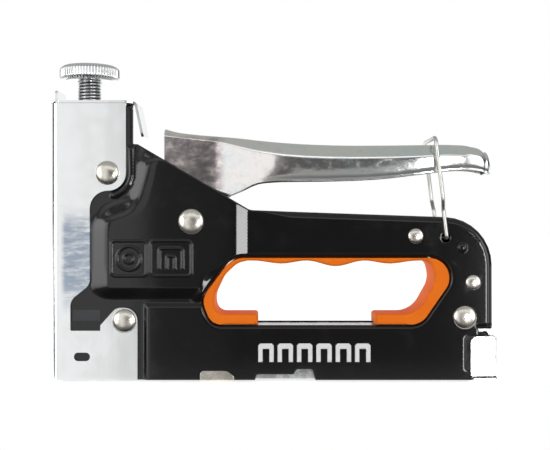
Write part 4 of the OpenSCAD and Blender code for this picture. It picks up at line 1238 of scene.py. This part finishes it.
def coil_spring(node, name, body, axis, wire_radius, turns, sides):
    """Spring that fills its solid, with its axis along a coordinate. Returns the piece and the
    far end of its axis in metres."""
    low, high = limits(node)
    start, stop = middle(node), middle(node)
    start[axis], stop[axis] = low[axis], high[axis]
    outer_radius = (high - low)[2 - axis] / 2
    line = coil(start, stop, outer_radius - wire_radius, wire_radius, turns)
    spring = weld(name, [tube(line, wire_radius, sides)], body, "spring_steel", [node],
                  sharp=60, recalc=True)
    return dress(spring, "spring_steel"), tuple((stop / 1000).tolist())


spring, top = coil_spring("main_spring", "striker_spring_coil", "frame", 2, 0.9, 8.5, 10)
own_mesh(spring)
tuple(top)
spring, rear = coil_spring("pusher_spring", "pusher_spring_coil", "drawer", 0, 0.35, 34, 8)
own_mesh(spring)
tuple(rear)

# %% [markdown]
# ## Solids that stay
# Everything inside the body keeps its solid and gets the finish that its maker would give it.

# %% Finishes for the solids
kept = {
    "oiled_steel": [
        "thread_nut", "blade_guide", "body_spacers", "spring_cap", "plunger", "driver_blade",
        "blade_pins", "lifting_arm", "lever_pin", "lift_rollers", "roller_pin", "guide_rod",
        "rod_nut", "pusher", "magazine_rail"],
    "bright_zinc": ["magazine_channel", "rear_catch"],
    "spring_steel": ["lever_spring"],
    "brass": ["pivot_bush"],
}
for finish_name, nodes in kept.items():
    for node in nodes:
        dress(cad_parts[node], finish_name)

# %% [markdown]
# ## Floor and light
# The object stands on a pale floor in white air. Soft lights stand left, right and above. Shiny
# steel shows its surroundings more than its own colour, so boards stand behind the camera, where
# the flat faces look: dark and grey in front of the black enamel, white to the left for the nose.

# %% Floor and boards
def studio_surface(name, tone, glow):
    """Plain surface that reflects one tone, with some light of its own."""
    return finish(name, lambda position: {}, Base_Color=(tone, tone, tone, 1), Roughness=0.9,
                  Specular_IOR_Level=0.0, Emission_Color=(1, 1, 1, 1), Emission_Strength=glow)


def studio_sheet(name, points, material, seen=True):
    """A staged surface from a grid of points in metres."""
    mesh = bpy.data.meshes.new(name)
    verts, faces = grid(points)
    mesh.from_pydata(verts.tolist(), [], faces.tolist())
    mesh.shade_smooth()
    mesh.materials.append(material)
    sheet = bpy.data.objects.new(name, mesh)
    bpy.context.collection.objects.link(sheet)
    sheet.visible_camera = seen
    return sheet


floor_front = -0.0142
y, x = np.meshgrid([floor_front, 0.5, 2, 4], np.linspace(-3, 3, 5), indexing="ij")
points = np.stack([x, y, 0 * x], -1)
studio_sheet("pale_floor", points, studio_surface("pale_paper", 0.9, 0.72))


def soft_board(name, centre, across, up, radiance):
    """Glowing board that fades towards its edges, as (1 - u^2)(1 - v^2) to the power 0.8."""
    u, v = np.meshgrid(np.linspace(-1, 1, 25), np.linspace(-1, 1, 25), indexing="ij")
    points = np.array(centre) + u[..., None] * np.array(across) + v[..., None] * np.array(up)
    sheet = studio_sheet(name, points, studio_surface(name + "_glow", 0.0, 0.0), seen=False)
    fade = ((1 - u ** 2) * (1 - v ** 2)).ravel() ** 0.8
    sheet.data.attributes.new("fade", "FLOAT", "POINT").data.foreach_set("value", fade)
    nodes = sheet.data.materials[0].node_tree
    fade = Value(nodes, nodes.nodes.new("ShaderNodeAttribute").outputs["Fac"])
    fade.socket.node.attribute_name = "fade"
    fade.feed(nodes.nodes["Principled BSDF"], {"Emission Strength": fade * radiance})


board_y = -1.2


def board(name, x0, x1, z0, z1, tone):
    """Upright board behind the camera that only reflections see."""
    points = np.array([[[x, board_y, z] for x in (x0, x1)] for z in (z0, z1)])
    studio_sheet(name, points, studio_surface(name + "_tone", 0.0, tone), seen=False)


board("dark_board", -0.083, 0.385, -0.18, 0.3, 0.09)
board("grey_board", -0.217, -0.085, -0.18, 0.3, 0.2)
board("white_board", -0.6, -0.219, -0.5, 0.9, 0.95)
soft_board("left_glow", (-0.95, -1.0, 0.3), (0.26, -0.24, 0), (0, 0, 0.7), 4.0)
soft_board("right_glow", (1.0, -0.85, 0.3), (0.33, 0.33, 0), (0, 0, 0.7), 3.0)
soft_board("top_glow", (0, -1.0, 0.48), (1.1, 0, 0), (0, 0.1, 0.15), 1.3)

# %% Lights
def softbox(name, place_at, aim, wide, high, radiance):
    """Rectangular light whose power is set from how bright it should look."""
    light = bpy.data.lights.new(name, "AREA")
    light.shape, light.size, light.size_y = "RECTANGLE", wide, high
    light.energy = radiance * math.pi * wide * high
    lamp = bpy.data.objects.new(name, light)
    lamp.location = place_at
    lamp.rotation_euler = (Vector(aim) - Vector(place_at)).to_track_quat("-Z", "Y").to_euler()
    bpy.context.collection.objects.link(lamp)


softbox("right_strip", (0.465, -1.19, -0.055), (0.465, 0, -0.055), 0.14, 0.39, 13)
softbox("left_softbox", (-1.6, -0.8, 0.4), (0, 0, 0.06), 1.0, 1.0, 1.5)

world = bpy.data.worlds.new("studio_air")
world.use_nodes = True
tree = world.node_tree
air = tree.nodes["Background"]
direction = Value(tree, tree.nodes.new("ShaderNodeTexCoord").outputs["Generated"])
sideways = abs(direction.part(0)).ramp(0.5, 0.8)
upward = direction.part(2).ramp(0.05, 0.75)
glow = direction.part(2).ramp(-0.75, -0.15).between((0.03, 0.03, 0.03), (0.36, 0.36, 0.355))
glow = upward.between(glow, (0.4, 0.42, 0.4))
glow = (sideways * (1 - upward)).between(glow, (0.05, 0.05, 0.055))
behind = direction.part(1).ramp(0.5, 0.75) * (1 - abs(direction.part(2)).ramp(0.2, 0.4))
glow = behind.between(glow, (0.95, 0.95, 0.95))
tree.links.new(glow.socket, air.inputs["Color"])
paper = tree.nodes.new("ShaderNodeBackground")
paper.inputs["Color"].default_value = (1, 1, 1, 1)
mix = tree.nodes.new("ShaderNodeMixShader")
tree.links.new(tree.nodes.new("ShaderNodeLightPath").outputs["Is Camera Ray"], mix.inputs[0])
tree.links.new(air.outputs[0], mix.inputs[1])
tree.links.new(paper.outputs[0], mix.inputs[2])
tree.links.new(mix.outputs[0], tree.nodes["World Output"].inputs[0])
bpy.context.scene.world = world
